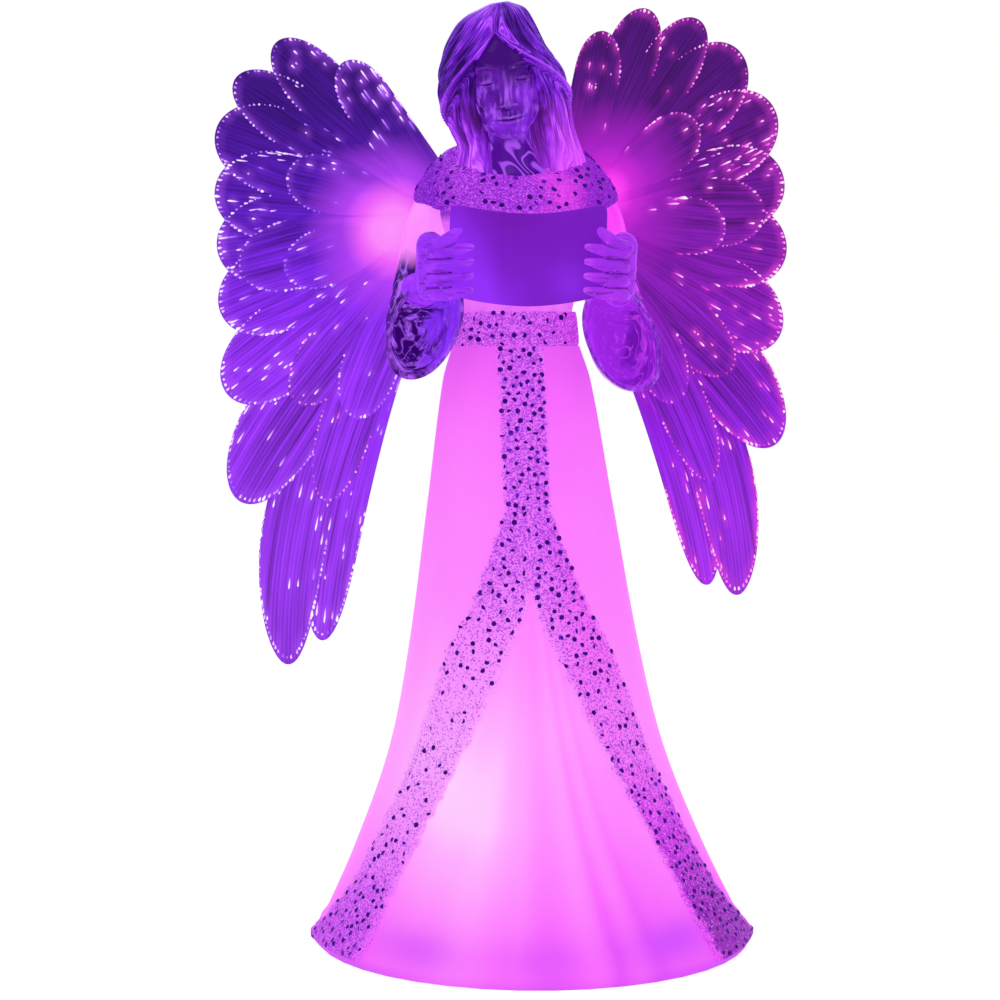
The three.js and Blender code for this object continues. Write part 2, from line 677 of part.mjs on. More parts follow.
function makeSlider() {
  const start = -SLOT_LENGTH / 2 + FIT_GAP;
  return box(
    [start, -SLIDER_WIDTH / 2, SLIDER_RECESS],
    [start + SLIDER_LENGTH, SLIDER_WIDTH / 2, SWITCH_Z + SLIDER_REACH],
  ).translate(SWITCH_X, SWITCH_Y, 0);
}

function makeBoard() {
  return box(
    [-BOARD_LENGTH / 2, TRAY_SETBACK - BOARD_WIDTH / 2, BOARD_Z],
    [BOARD_LENGTH / 2, TRAY_SETBACK + BOARD_WIDTH / 2, BOARD_Z + BOARD_THICKNESS],
  );
}

// A domed lamp standing on z = 0
function makeLamp() {
  const radius = LAMP_DIAMETER / 2;
  const shoulder = LAMP_HEIGHT - radius;
  const dome = steps(0, Math.PI / 2, 3).map((turn) =>
    [radius * Math.cos(turn), shoulder + radius * Math.sin(turn)]);
  dome[dome.length - 1][0] = 0;
  return turned([[0, 0], [radius, 0], ...dome], 12);
}

function makeSkirtLamp(index) {
  const x = (index - (LAMP_COUNT - 1) / 2) * LAMP_PITCH;
  return moved(makeLamp(), x, TRAY_SETBACK, BOARD_Z + BOARD_THICKNESS + FIT_GAP);
}

// Torso, in the upper body's frame
const BELT_INNER = WAIST_HALF_WIDTH - BELT_THICKNESS - FIT_GAP;
const torsoHalfWidth = profile([
  [0, BELT_INNER],
  [BELT_HEIGHT, BELT_INNER - BELT_TAPER],
  [BUST_HEIGHT, BUST_HALF_WIDTH],
  [SHOULDER_HEIGHT, SHOULDER_HALF_WIDTH],
  [TORSO_HEIGHT, NECK_SEAT_HALF_WIDTH],
]);
const torsoHalfDepth = profile([
  [0, BELT_INNER * WAIST_DEPTH_RATIO],
  [BELT_HEIGHT, (BELT_INNER - BELT_TAPER) * WAIST_DEPTH_RATIO],
  [BUST_HEIGHT, BUST_HALF_DEPTH],
  [SHOULDER_HEIGHT, SHOULDER_HALF_DEPTH],
  [TORSO_HEIGHT, NECK_SEAT_HALF_DEPTH],
]);

function torsoLoft(swell, low, high, levels = 8) {
  return loft(steps(low, high, levels).map((height) =>
    Array.from({ length: BODY_FACETS }, (_, i) => {
      const angle = (2 * Math.PI * i) / BODY_FACETS;
      return point(
        (torsoHalfWidth(height) + swell) * Math.cos(angle),
        (torsoHalfDepth(height) + swell) * Math.sin(angle),
        height,
      );
    })));
}

function makeTorsoHalf(side) {
  const shell = cut(
    torsoLoft(0, FIT_GAP, TORSO_HEIGHT),
    torsoLoft(-WALL, -1, TORSO_HEIGHT - 2 * WALL),
    neckForm(2 * FIT_GAP).applyMatrix4(headPlace),
  );
  const front = box([-FAR, -FAR, -FAR], [FAR, -FIT_GAP / 2, FAR]);
  const back = box([-FAR, FIT_GAP / 2, -FAR], [FAR, FAR, FAR]);
  const leadBore = cylinder(LEAD_DIAMETER + 2 * FIT_GAP, -FAR, 0)
    .rotateX(Math.PI / 2)
    .translate(0, 0, WING_HEIGHT);
  return side < 0 ? overlap(shell, front) : cut(overlap(shell, back), leadBore);
}

function makeBelt() {
  return cut(
    torsoLoft(FIT_GAP + BELT_THICKNESS, FIT_GAP, BELT_HEIGHT, 2),
    torsoLoft(FIT_GAP, 0, BELT_HEIGHT + FIT_GAP, 2),
  );
}

// The cowl is a steep roll round the neck that dips at the front; shoulders, neck and hair are cut out of it
function collarLoft(swell) {
  const across = COLLAR_HALF_WIDTH - COLLAR_ROLL;
  const deep = COLLAR_HALF_DEPTH - COLLAR_ROLL;
  const rings = Array.from({ length: BODY_FACETS }, (_, i) => {
    const angle = (2 * Math.PI * i) / BODY_FACETS;
    const height = COLLAR_SIDE_HEIGHT + COLLAR_DIP * Math.sin(angle);
    return Array.from({ length: COLLAR_FACETS }, (__, j) => {
      const turn = (2 * Math.PI * j) / COLLAR_FACETS;
      const out = (COLLAR_ROLL + swell) * Math.cos(turn);
      const lift = (COLLAR_ROLL_HEIGHT + swell) * Math.sin(turn) - COLLAR_SLOPE * out;
      return point((across + out) * Math.cos(angle), (deep + out) * Math.sin(angle), height + lift);
    });
  });
  return loft(rings, true);
}

function makeCollar() {
  return cut(
    collarLoft(0),
    torsoLoft(FIT_GAP, -1, TORSO_HEIGHT + FIT_GAP),
    neckForm(2 * FIT_GAP).applyMatrix4(headPlace),
    hairLoft(FIT_GAP).applyMatrix4(headPlace),
  );
}

// Head and hair, in the head's own frame at the foot of the neck
const headPlace = new THREE.Matrix4().compose(
  point(HEAD_SHIFT, HEAD_FORWARD, TORSO_HEIGHT),
  new THREE.Quaternion().setFromEuler(new THREE.Euler(radians(HEAD_NOD), -radians(HEAD_TILT), 0)),
  point(1, 1, 1),
);
const headWidth = profile([[0, 0.27], [0.08, 0.55], [0.2, 0.77], [0.36, 0.92], [0.55, 1], [0.75, 0.95],
  [0.9, 0.71], [1, 0.17]]);
const headFront = profile([[0, 0.75], [0.08, 0.92], [0.2, 0.95], [0.36, 0.98], [0.55, 1], [0.75, 0.93],
  [0.9, 0.65], [1, 0.2]]);
const headBack = profile([[0, 0.1], [0.08, 0.2], [0.2, 0.45], [0.36, 0.75], [0.55, 1], [0.75, 1],
  [0.9, 0.72], [1, 0.2]]);
const noseRise = profile([[0.23, 0], [0.27, 1], [0.5, 0.2], [0.56, 0]]);

// One level of a head-like form: half width, reach to the front and reach to the back
function headRing(height, half, front, back, rise = 0) {
  return Array.from({ length: HEAD_FACETS }, (_, i) => {
    const angle = (2 * Math.PI * i) / HEAD_FACETS;
    const x = half * Math.cos(angle);
    const deep = Math.sin(angle);
    const nose = deep < 0 ? rise * Math.exp(-((x / NOSE_SPREAD) ** 2)) : 0;
    return point(x, deep * (deep < 0 ? front : back) - nose, height);
  });
}

function headLoft(swell) {
  const shares = [0, 0.04, 0.1, 0.17, 0.23, 0.27, 0.32, 0.4, 0.48, 0.56, 0.65, 0.75, 0.84, 0.92, 1];
  return loft(shares.map((share) => {
    const height = CHIN_HEIGHT + share * HEAD_HEIGHT + (share - 0.5) * 2 * swell;
    return headRing(
      height,
      headWidth(share) * HEAD_HALF_WIDTH + swell,
      headFront(share) * FACE_DEPTH + swell,
      headBack(share) * HEAD_BACK_DEPTH + swell,
      noseRise(share) * NOSE_RISE,
    );
  }));
}

function neckForm(extra) {
  return cylinder(NECK_DIAMETER + extra, -NECK_PLUG - extra / 2, CHIN_HEIGHT + HEAD_HEIGHT / 3);
}

const HAIR_TOP = CHIN_HEIGHT + HEAD_HEIGHT + HAIR_RISE;
const hairWidth = profile([[0, 1.03], [0.2, 0.95], [0.38, 0.98], [0.56, 0.92], [0.73, 0.76], [0.87, 0.6],
  [0.95, 0.43], [1, 0.14]]);
const hairLean = profile([[0, 0.6], [0.2, 0.5], [0.5, 0], [0.75, -0.45], [0.9, 0], [1, 0.9]]);
const hairFront = profile([[0, 0.65], [0.38, 0.88], [0.56, 1], [0.75, 0.95], [0.9, 0.62], [1, 0.1]]);
const hairBack = profile([[0, 0.72], [0.38, 0.93], [0.56, 1], [0.75, 0.92], [0.9, 0.62], [1, 0.1]]);

function hairLoft(swell) {
  return loft(steps(0, 1, 12).map((share) => headRing(
    THREE.MathUtils.lerp(HAIR_FOOT - swell, HAIR_TOP + swell, share),
    hairWidth(share) * HAIR_HALF_WIDTH + swell,
    hairFront(share) * HAIR_FRONT_DEPTH + swell,
    hairBack(share) * HAIR_BACK_DEPTH + swell,
  ).map((p) => p.add(point(HAIR_LEAN * hairLean(share), 0, 0)))));
}

// The hair parts over the forehead and leaves an arch for the face
function faceArch() {
  const half = FACE_OPENING / 2;
  const foot = ARCH_FOOT_SHARE * half;
  const cheek = CHIN_HEIGHT + CHEEK_SHARE * HEAD_HEIGHT;
  const peak = CHIN_HEIGHT + PEAK_SHARE * HEAD_HEIGHT;
  const arch = new THREE.Shape();
  arch.moveTo(-foot, -HAIR_TOP);
  arch.lineTo(foot, -HAIR_TOP);
  arch.lineTo(half, cheek);
  arch.quadraticCurveTo(half, 0.75 * peak, 0, peak);
  arch.quadraticCurveTo(-half, 0.75 * peak, -half, cheek);
  const settings = { depth: FAR, bevelEnabled: false, curveSegments: 5 };
  return new THREE.ExtrudeGeometry(arch, settings).rotateX(Math.PI / 2).translate(0, -FIT_GAP, 0);
}

// The hair's ends rest over the shoulders
function makeHair() {
  const shoulders = torsoLoft(FIT_GAP, -1, TORSO_HEIGHT + FIT_GAP).applyMatrix4(headPlace.clone().invert());
  return cut(hairLoft(0), headLoft(FIT_GAP), neckForm(2 * FIT_GAP), faceArch(), shoulders);
}

// Book and hands, in the book's own frame
const bookPlace = new THREE.Matrix4().compose(
  point(0, BOOK_REACH, BOOK_RISE),
  new THREE.Quaternion().setFromEuler(new THREE.Euler(radians(BOOK_LEAN), 0, 0)),
  point(1, 1, 1),
);
const bowAt = (x) => BOOK_BOW * ((Math.abs(x) / BOOK_HALF_WIDTH) ** 1.4 - 1);
const sagAt = (x) => BOOK_SAG * ((x / BOOK_HALF_WIDTH) ** 2 - 1);

function bookLeaf(half, height, front, thickness) {
  const surface = (offset) => (x, z) => point(x, bowAt(x) + offset, z + sagAt(x));
  return plate(steps(-half, half, 12), steps(-height / 2, height / 2, 1),
    surface(front), surface(front + thickness));
}

const makeCover = () => bookLeaf(BOOK_HALF_WIDTH, BOOK_HEIGHT, -COVER_THICKNESS / 2, COVER_THICKNESS);
const makePages = () => bookLeaf(BOOK_HALF_WIDTH - PAGE_MARGIN, BOOK_HEIGHT - 2 * PAGE_MARGIN,
  COVER_THICKNESS / 2 + FIT_GAP, PAGE_THICKNESS);

const PALM_X = BOOK_HALF_WIDTH + PALM_THICKNESS / 2 + PALM_GAP;
const PALM_FOOT = PALM_TOP - (FINGER_COUNT - 1) * FINGER_PITCH;

function forearm(extra) {
  const path = FOREARM_BENDS.map(([out, back, up]) =>
    point(PALM_X + out, PALM_SETBACK + back, PALM_FOOT + up));
  const thickness = [WRIST_DIAMETER, WRIST_DIAMETER, FOREARM_DIAMETER, FOREARM_DIAMETER];
  return limb(path, thickness.map((diameter) => diameter + extra), 7, 12);
}

function makeHand() {
  const onCover = (x, diameter) => bowAt(x) - (COVER_THICKNESS + diameter) / 2 - GRIP_GAP;
  const tip = BOOK_HALF_WIDTH - FINGER_REACH;
  const fingers = steps(0, FINGER_COUNT - 1, FINGER_COUNT - 1).map((index) => {
    const height = PALM_TOP - index * FINGER_PITCH;
    const path = [
      point(PALM_X, PALM_SETBACK / 3, height - FINGER_LIFT / 2),
      point(PALM_X - PALM_GAP, onCover(PALM_X, FINGER_DIAMETER), height - FINGER_LIFT / 4),
      point(BOOK_HALF_WIDTH, onCover(BOOK_HALF_WIDTH, FINGER_DIAMETER) - PALM_GAP / 3, height),
      point(tip, onCover(tip, FINGER_DIAMETER), height + FINGER_LIFT / 2),
    ];
    return limb(path, FINGER_TAPER.map((share) => share * FINGER_DIAMETER));
  });
  const thumbTip = BOOK_HALF_WIDTH - THUMB_DIAMETER / 2;
  const thumbRoot = BOOK_HALF_WIDTH + THUMB_DIAMETER / 2;
  const thumb = limb([
    point(PALM_X, 0, PALM_TOP),
    point(thumbRoot, onCover(thumbRoot, THUMB_DIAMETER), PALM_TOP + THUMB_RISE / 3),
    point(thumbTip, onCover(thumbTip, THUMB_DIAMETER), PALM_TOP + THUMB_RISE),
  ], THUMB_TAPER.map((share) => share * THUMB_DIAMETER));
  const palm = limb(
    [point(PALM_X, PALM_SETBACK, PALM_TOP), point(PALM_X, PALM_SETBACK, PALM_FOOT)],
    [PALM_THICKNESS, PALM_THICKNESS],
    2,
  );
  return join(palm, ...fingers, thumb, forearm(0));
}

// Sleeve, in the upper body's frame, from rings between the shoulder and the open cuff
function sleeveRings({ drop, out }) {
  const hung = (x, y, z, share) => point(x + share * out, y, z - share * drop);
  return [
    { centre: hung(SHOULDER_HALF_WIDTH - 3, 1, SHOULDER_HEIGHT - 1, 0), face: point(0.8, 0, -0.6),
      width: SLEEVE_TOP_HALF_WIDTH, height: SLEEVE_TOP_HALF_WIDTH + 1.5 },
    { centre: hung(UPPER_ARM_OUT, 0, SHOULDER_HEIGHT - 10, 0), face: point(0.3, 0, -0.95),
      width: SLEEVE_TOP_HALF_WIDTH, height: SLEEVE_TOP_HALF_WIDTH + 2 },
    { centre: hung((UPPER_ARM_OUT + ELBOW_OUT) / 2, -1, BUST_HEIGHT - 6, 0), face: point(0.1, -0.15, -0.98),
      width: SLEEVE_TOP_HALF_WIDTH + 0.8, height: SLEEVE_TOP_HALF_WIDTH + 3.5 },
    { centre: hung(ELBOW_OUT, -4, BUST_HEIGHT - 20, 0.5), face: point(0, -0.5, -0.87),
      width: CUFF_HALF_WIDTH - 1.8, height: CUFF_HALF_HEIGHT - 3 },
    { centre: hung((ELBOW_OUT + CUFF_OUT) / 2, CUFF_REACH / 2 - 1, BUST_HEIGHT - 25.5, 1),
      face: point(-0.2, -0.85, -0.4), width: CUFF_HALF_WIDTH - 0.8, height: CUFF_HALF_HEIGHT - 1 },
    { centre: hung(CUFF_OUT, CUFF_REACH, BUST_HEIGHT - 25, 1), face: point(-0.25, -0.97, 0),
      width: CUFF_HALF_WIDTH, height: CUFF_HALF_HEIGHT },
  ];
}

function sleeveLoft(rings, shares, shrink, overrun) {
  const centres = new THREE.CatmullRomCurve3(rings.map((ring) => ring.centre));
  const faces = new THREE.CatmullRomCurve3(rings.map((ring) => ring.face));
  const places = steps(0, 1, rings.length - 1);
  const widthAt = profile(places.map((place, i) => [place, rings[i].width]));
  const heightAt = profile(places.map((place, i) => [place, rings[i].height]));
  return loft(shares.map((share) => {
    const face = faces.getPoint(Math.min(share, 1)).normalize();
    const beyond = Math.max(share - 1, 0) * overrun;
    const centre = centres.getPoint(Math.min(share, 1)).addScaledVector(face, beyond);
    const sideways = point(1, 0, 0).addScaledVector(face, -face.x).normalize();
    const upward = point(0, 0, 0).crossVectors(face, sideways);
    const lean = CUFF_LEAN * Math.min(share, 1) ** 2;
    return Array.from({ length: SLEEVE_FACETS }, (_, i) => {
      const angle = (2 * Math.PI * i) / SLEEVE_FACETS;
      const across = (widthAt(share) - shrink) * Math.cos(angle);
      const up = (heightAt(share) - shrink) * Math.sin(angle);
      return centre.clone().addScaledVector(sideways, across - lean * up).addScaledVector(upward, up);
    });
  }));
}

function makeSleeve(name) {
  const rings = sleeveRings(CUFF_HANG[name]);
  return cut(
    sleeveLoft(rings, steps(0, 1, 10), 0, 0),
    sleeveLoft(rings, [...steps(BELL_START, 1, 5), 2], SLEEVE_WALL, 4),
    forearm(2 * FIT_GAP).applyMatrix4(bookPlace),
    torsoLoft(FIT_GAP, -1, TORSO_HEIGHT),
    collarLoft(FIT_GAP),
  );
}

// Wings, each in a frame at its hub: X outward, Y up, Z towards the front
const wingTurn = new THREE.Euler(Math.PI / 2, 0, radians(WING_SWEEP), 'ZYX');
const wingPlace = new THREE.Matrix4().compose(
  point(WING_SPACING / 2, WING_SETBACK, WING_HEIGHT),
  new THREE.Quaternion().setFromEuler(wingTurn),
  point(1, 1, 1),
);
const FAN_FRONT = FAN_THICKNESS + FAN_STEP;
const GROOVE_BACK = -2 * FIT_GAP - (LONG_FEATHERS.length - 1) * FEATHER_LAYER - FEATHER_THICKNESS;
const GROOVE_FRONT = FAN_FRONT + 2 * FIT_GAP + (COVERT_LAYERS - 1) * FEATHER_LAYER + FEATHER_THICKNESS;
const FLANGE_FRONT = GROOVE_FRONT + HUB_FLANGE_THICKNESS;
const PLUG_END = FLANGE_FRONT + PLUG_LENGTH;
const SOCKET_BOTTOM = PLUG_END + FIT_GAP;
const LAMP_BORE = LAMP_DIAMETER + 2 * FIT_GAP;

function makeHub() {
  const boreEnd = SOCKET_BOTTOM - FIT_GAP - LAMP_HEIGHT - FIT_GAP;
  return turned([
    [0, GROOVE_BACK - HUB_FLANGE_THICKNESS],
    [HUB_BACK_FLANGE / 2, GROOVE_BACK - HUB_FLANGE_THICKNESS],
    [HUB_BACK_FLANGE / 2, GROOVE_BACK],
    [HUB_CORE / 2, GROOVE_BACK],
    [HUB_CORE / 2, GROOVE_FRONT],
    [HUB_FRONT_FLANGE / 2, GROOVE_FRONT],
    [HUB_FRONT_FLANGE / 2, FLANGE_FRONT],
    [PLUG_DIAMETER / 2, FLANGE_FRONT],
    [PLUG_DIAMETER / 2, PLUG_END],
    [LAMP_BORE / 2, PLUG_END],
    [LAMP_BORE / 2, boreEnd],
    [0, boreEnd],
  ], HUB_FACETS);
}

function makeWingLamp() {
  return makeLamp().rotateX(Math.PI).translate(0, 0, SOCKET_BOTTOM - FIT_GAP);
}

function makeBracket() {
  const mirror = new THREE.Matrix4().makeScale(-1, 1, 1);
  const socketBore = PLUG_DIAMETER + 2 * FIT_GAP;
  const cup = cylinder(socketBore + 2 * SOCKET_WALL, FLANGE_FRONT + FIT_GAP, SOCKET_BOTTOM + SOCKET_FLOOR);
  const bore = cylinder(socketBore, FLANGE_FRONT, SOCKET_BOTTOM);
  const both = (geometry) => {
    const right = geometry.applyMatrix4(wingPlace);
    const left = closedMirror(right, mirror);
    return [right, left];
  };
  const bar = box(
    [-WING_SPACING / 2, 0, WING_HEIGHT - BRACKET_HEIGHT / 2],
    [WING_SPACING / 2, SHOULDER_HALF_DEPTH + FIT_GAP + BRACKET_DEPTH, WING_HEIGHT + BRACKET_HEIGHT / 2],
  );
  return cut(
    join(bar, ...both(cup)),
    torsoLoft(FIT_GAP, -1, TORSO_HEIGHT),
    collarLoft(FIT_GAP),
    ...both(bore),
  );
}

// A mirrored copy whose faces still point out
function closedMirror(geometry, mirror) {
  const copy = geometry.clone().applyMatrix4(mirror);
  const faces = Array.from(copy.index.array);
  copy.setIndex(faces.toReversed());
  return copy;
}

// A feather along +X from the hub, narrow at the stem, widest near its round tip
function featherForm({ width, bend = 0, stem = STEM_WIDTH }, tip, thickness) {
  const root = HUB_CORE / 2 + FIT_GAP;
  const foot = stem / 2;
  const half = width / 2;
  const belly = root + FEATHER_BELLY * (tip - root);
  const grow = belly - root;
  const round = tip - belly;
  const outline = new THREE.Shape();
  outline.moveTo(root, -foot);
  outline.bezierCurveTo(root + 0.4 * grow, -foot, belly - 0.4 * grow, -half, belly, -half);
  outline.bezierCurveTo(belly + 0.6 * round, -half, tip, -0.55 * half, tip, 0);
  outline.bezierCurveTo(tip, 0.55 * half, belly + 0.6 * round, half, belly, half);
  outline.bezierCurveTo(belly - 0.4 * grow, half, root + 0.4 * grow, foot, root, foot);
  const bent = outline.getPoints(FEATHER_SEGMENTS).map(({ x, y }) => {
    const share = (x - root) / (tip - root);
    return new THREE.Vector2(x, y + 4 * bend * share * (1 - share));
  });
  return new THREE.ExtrudeGeometry(new THREE.Shape(bent), { depth: thickness, bevelEnabled: false });
}

function placedFeather(feather, name, thickness, depth) {
  const { lowest, spread } = WING_SETTINGS[name];
  const angle = radians(lowest + spread * feather.place);
  return featherForm(feather, feather[name], thickness).rotateZ(angle).translate(0, 0, depth);
}

function makeWing(name) {
  const group = new THREE.Group();
  group.applyMatrix4(wingPlace);
  const fan = FAN_FEATHERS.map((feather, index) =>
    placedFeather(feather, name, FAN_THICKNESS, (index % 2) * FAN_STEP));
  group.add(mesh(`${name}_wing_hub`, makeHub(), WHITE_PLASTIC));
  group.add(mesh(`${name}_feather_fan`, join(...fan), FIBRE));
  LONG_FEATHERS.forEach((feather, index) => {
    const depth = -FIT_GAP - index * FEATHER_LAYER - FEATHER_THICKNESS;
    const form = placedFeather(feather, name, FEATHER_THICKNESS, depth);
    group.add(mesh(`${name}_${feather.name}_long_feather`, form, FIBRE));
  });
  COVERT_FEATHERS.forEach((feather) => {
    const depth = FAN_FRONT + FIT_GAP + feather.layer * FEATHER_LAYER;
    const form = placedFeather(feather, name, FEATHER_THICKNESS, depth);
    group.add(mesh(`${name}_${feather.name}_covert`, form, FIBRE));
  });
  return group;
}

// The lead runs from the board up through the waist to the bracket
function makeLead() {
  const radius = LEAD_DIAMETER / 2;
  const start = BOARD_Z + BOARD_THICKNESS + FIT_GAP + radius;
  const exit = torsoHalfDepth(WING_HEIGHT) - radius;
  const corner = point(BOARD_LENGTH / 2 - LEAD_INSET, TRAY_SETBACK - BOARD_WIDTH / 2 + LEAD_INSET, start);
  const height = WAIST_Z + WING_HEIGHT;
  const path = [
    corner,
    corner.clone().add(point(0, 0, LEAD_RISE)),
    point(WAIST_LEAN + LEAD_INSET, WALL, WAIST_Z / 2),
    point(WAIST_LEAN, WALL, WAIST_Z),
    point(WAIST_LEAN, WALL, height - LEAD_BEND),
    point(WAIST_LEAN, exit / 2, height - LEAD_BEND / 6),
    point(WAIST_LEAN, exit - LEAD_BEND / 6, height),
    point(WAIST_LEAN, exit, height),
  ];
  return limb(path, [LEAD_DIAMETER, LEAD_DIAMETER], 24, 6);
}

// Assembly
const angel = new THREE.Group();
angel.add(mesh('base_plate', makeBasePlate(), FROSTED));
angel.add(mesh('battery_tray', makeTray(), WHITE_PLASTIC));
angel.add(mesh('battery_door', makeDoor(), WHITE_PLASTIC));
for (let index = 0; index < CELL_COUNT; index += 1) {
  angel.add(mesh(`battery_${index + 1}`, makeCell(index), CELL_WRAP));
}
angel.add(mesh('left_contact', makeContact(-1), STEEL));
angel.add(mesh('right_contact', makeContact(1), STEEL));
angel.add(mesh('switch_body', makeSwitchBody(), DARK_PLASTIC));
angel.add(mesh('switch_slider', makeSlider(), DARK_PLASTIC));
angel.add(mesh('circuit_board', makeBoard(), BOARD_GREEN));
for (let index = 0; index < LAMP_COUNT; index += 1) {
  angel.add(mesh(`skirt_lamp_${index + 1}`, makeSkirtLamp(index), LAMP_CLEAR));
}
SCREW_PLACES.forEach((place, index) => {
  angel.add(mesh(`base_screw_${index + 1}`, makeScrew(place), STEEL));
});
angel.add(mesh('wing_lead', makeLead(), DARK_PLASTIC));
angel.add(mesh('skirt_shell', makeSkirt(), FROSTED));
angel.add(mesh('front_placket', makePlacket(), GLITTER));
angel.add(mesh('left_front_band', makeFrontBand(-1), GLITTER));
angel.add(mesh('right_front_band', makeFrontBand(1), GLITTER));

const body = new THREE.Group();
body.position.copy(SHIFT_TO_BODY);
angel.add(body);
body.add(mesh('torso_front', makeTorsoHalf(-1), CLEAR));
body.add(mesh('torso_back', makeTorsoHalf(1), CLEAR));
body.add(mesh('belt', makeBelt(), GLITTER));
body.add(mesh('collar', makeCollar(), GLITTER));
body.add(mesh('wing_bracket', makeBracket(), WHITE_PLASTIC));

const head = new THREE.Group();
head.applyMatrix4(headPlace);
body.add(head);
head.add(mesh('head', join(headLoft(0), neckForm(0)), CLEAR));
head.add(mesh('hair', makeHair(), CLEAR));

const book = new THREE.Group();
book.applyMatrix4(bookPlace);
body.add(book);
book.add(mesh('book_cover', makeCover(), BOOK_FROST));
book.add(mesh('book_pages', makePages(), BOOK_FROST));

Object.entries(WING_SETTINGS).forEach(([name, { side }]) => {
  const half = new THREE.Group();
  half.scale.x = side;
  body.add(half);
  half.add(mesh(`${name}_sleeve`, makeSleeve(name), CLEAR));
  half.add(makeWing(name));
  const grip = new THREE.Group();
  grip.applyMatrix4(bookPlace);
  grip.add(mesh(`${name}_hand`, makeHand(), CLEAR));
  half.add(grip);
  const lamp = mesh(`${name}_wing_lamp`, makeWingLamp(), LAMP_CLEAR);
  lamp.applyMatrix4(wingPlace);
  half.add(lamp);
});

export default angel;
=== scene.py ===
"""Looks of a light-up angel figurine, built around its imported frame."""
import json
import math
from typing import NamedTuple

import bmesh
import bpy
import numpy as np
from mathutils import Matrix, Vector


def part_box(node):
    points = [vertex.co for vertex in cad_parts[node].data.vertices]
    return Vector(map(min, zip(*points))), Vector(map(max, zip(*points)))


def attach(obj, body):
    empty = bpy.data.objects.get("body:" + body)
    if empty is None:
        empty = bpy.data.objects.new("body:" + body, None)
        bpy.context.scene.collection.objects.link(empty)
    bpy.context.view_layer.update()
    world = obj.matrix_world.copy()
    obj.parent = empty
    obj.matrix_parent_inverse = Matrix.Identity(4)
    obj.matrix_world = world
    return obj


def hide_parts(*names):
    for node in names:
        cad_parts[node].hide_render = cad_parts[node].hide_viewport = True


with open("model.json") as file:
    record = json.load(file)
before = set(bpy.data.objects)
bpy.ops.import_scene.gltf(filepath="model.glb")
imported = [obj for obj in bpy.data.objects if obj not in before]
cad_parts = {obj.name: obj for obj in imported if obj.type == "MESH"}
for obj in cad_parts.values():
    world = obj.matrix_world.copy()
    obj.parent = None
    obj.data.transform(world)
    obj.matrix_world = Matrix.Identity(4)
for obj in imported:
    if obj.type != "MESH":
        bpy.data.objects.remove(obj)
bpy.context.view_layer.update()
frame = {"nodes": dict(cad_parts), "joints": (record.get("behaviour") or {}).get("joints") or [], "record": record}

bl_info = {
    "name": "Light-up Angel Figurine",
    "version": (1, 0, 0),
    "blender": (4, 5, 0),
    "location": "View3D > Sidebar > Angel",
    "description": "Lit skirt, clear upper body, glitter trim and fibre feather wings on the packed figure",
    "category": "Object",
}

MM = 0.001

# Sizes in millimetres, the same as in the part's source
HEM_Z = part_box("skirt_shell")[0].z / MM
WAIST_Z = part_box("skirt_shell")[1].z / MM
SKIRT_HEIGHT = WAIST_Z - HEM_Z
WALL = 1.8
WAIST_LEAN = -5.4
HEM_HALF_WIDTH = 71.2
HEM_DEPTH_RATIO = 1.12
WAIST_DEPTH_RATIO = 0.78
WAIST_HALF_WIDTH = 21.3
PLACKET_WIDTH = 15
PLACKET_DROP = 54
FORK_DROP = 80
BAND_TURN = -3
HEM_SWELL = 2
HEM_SWELL_HEIGHT = 18
BELT_HEIGHT = 11.4
BELT_THICKNESS = 1.6
BELT_INNER = 19.35
BUST_HEIGHT = 30
SHOULDER_HEIGHT = 47
SHOULDER_HALF_WIDTH = 29.5
TORSO_HEIGHT = 57
COLLAR_HALF_WIDTH = 34
COLLAR_HALF_DEPTH = 25
COLLAR_ROLL = 5.6
COLLAR_ROLL_HEIGHT = 3.4
COLLAR_SLOPE = 1.1
COLLAR_SIDE_HEIGHT = 56
COLLAR_DIP = 7
HEAD_SHIFT = -0.4
HEAD_FORWARD = -2.5
HEAD_TILT = 9
HEAD_NOD = 8
NECK_DIAMETER = 15
NECK_PLUG = 6
CHIN_HEIGHT = 13
HEAD_HEIGHT = 40
HEAD_HALF_WIDTH = 14.8
FACE_DEPTH = 15.6
HEAD_BACK_DEPTH = 17
HAIR_FOOT = 1.5
HAIR_HALF_WIDTH = 22.8
HAIR_FRONT_DEPTH = 19
HAIR_BACK_DEPTH = 21.5
HAIR_RISE = 3.5
HAIR_LEAN = 3
FACE_OPENING = 27
BOOK_HALF_WIDTH = 25
BOOK_HEIGHT = 30
BOOK_BOW = 4.5
BOOK_SAG = 2.5
COVER_THICKNESS = 1.4
PAGE_THICKNESS = 2.4
PAGE_MARGIN = 1.5
BOOK_RISE = 30.9
BOOK_REACH = -46
BOOK_LEAN = 15
FINGER_DIAMETER = 4.5
FINGER_PITCH = 4.7
FINGER_COUNT = 4
FINGER_REACH = 6.5
FINGER_LIFT = 3
THUMB_DIAMETER = 4.7
THUMB_RISE = 6.4
PALM_THICKNESS = 9
PALM_GAP = 1.5
PALM_SETBACK = 3
PALM_TOP = 0.5
GRIP_GAP = 0.55
WRIST_DIAMETER = 9
FOREARM_DIAMETER = 11
FOREARM_BENDS = ((0, 0, 7), (0.4, 8, 0), (1.2, 18, -5), (2.5, 27, -7))
SLEEVE_TOP_HALF_WIDTH = 8.2
SLEEVE_WALL = 1.6
CUFF_HALF_WIDTH = 12.3
CUFF_HALF_HEIGHT = 17.5
UPPER_ARM_OUT = 29
ELBOW_OUT = 33
CUFF_OUT = 31.5
CUFF_REACH = -23
CUFF_LEAN = 0.28
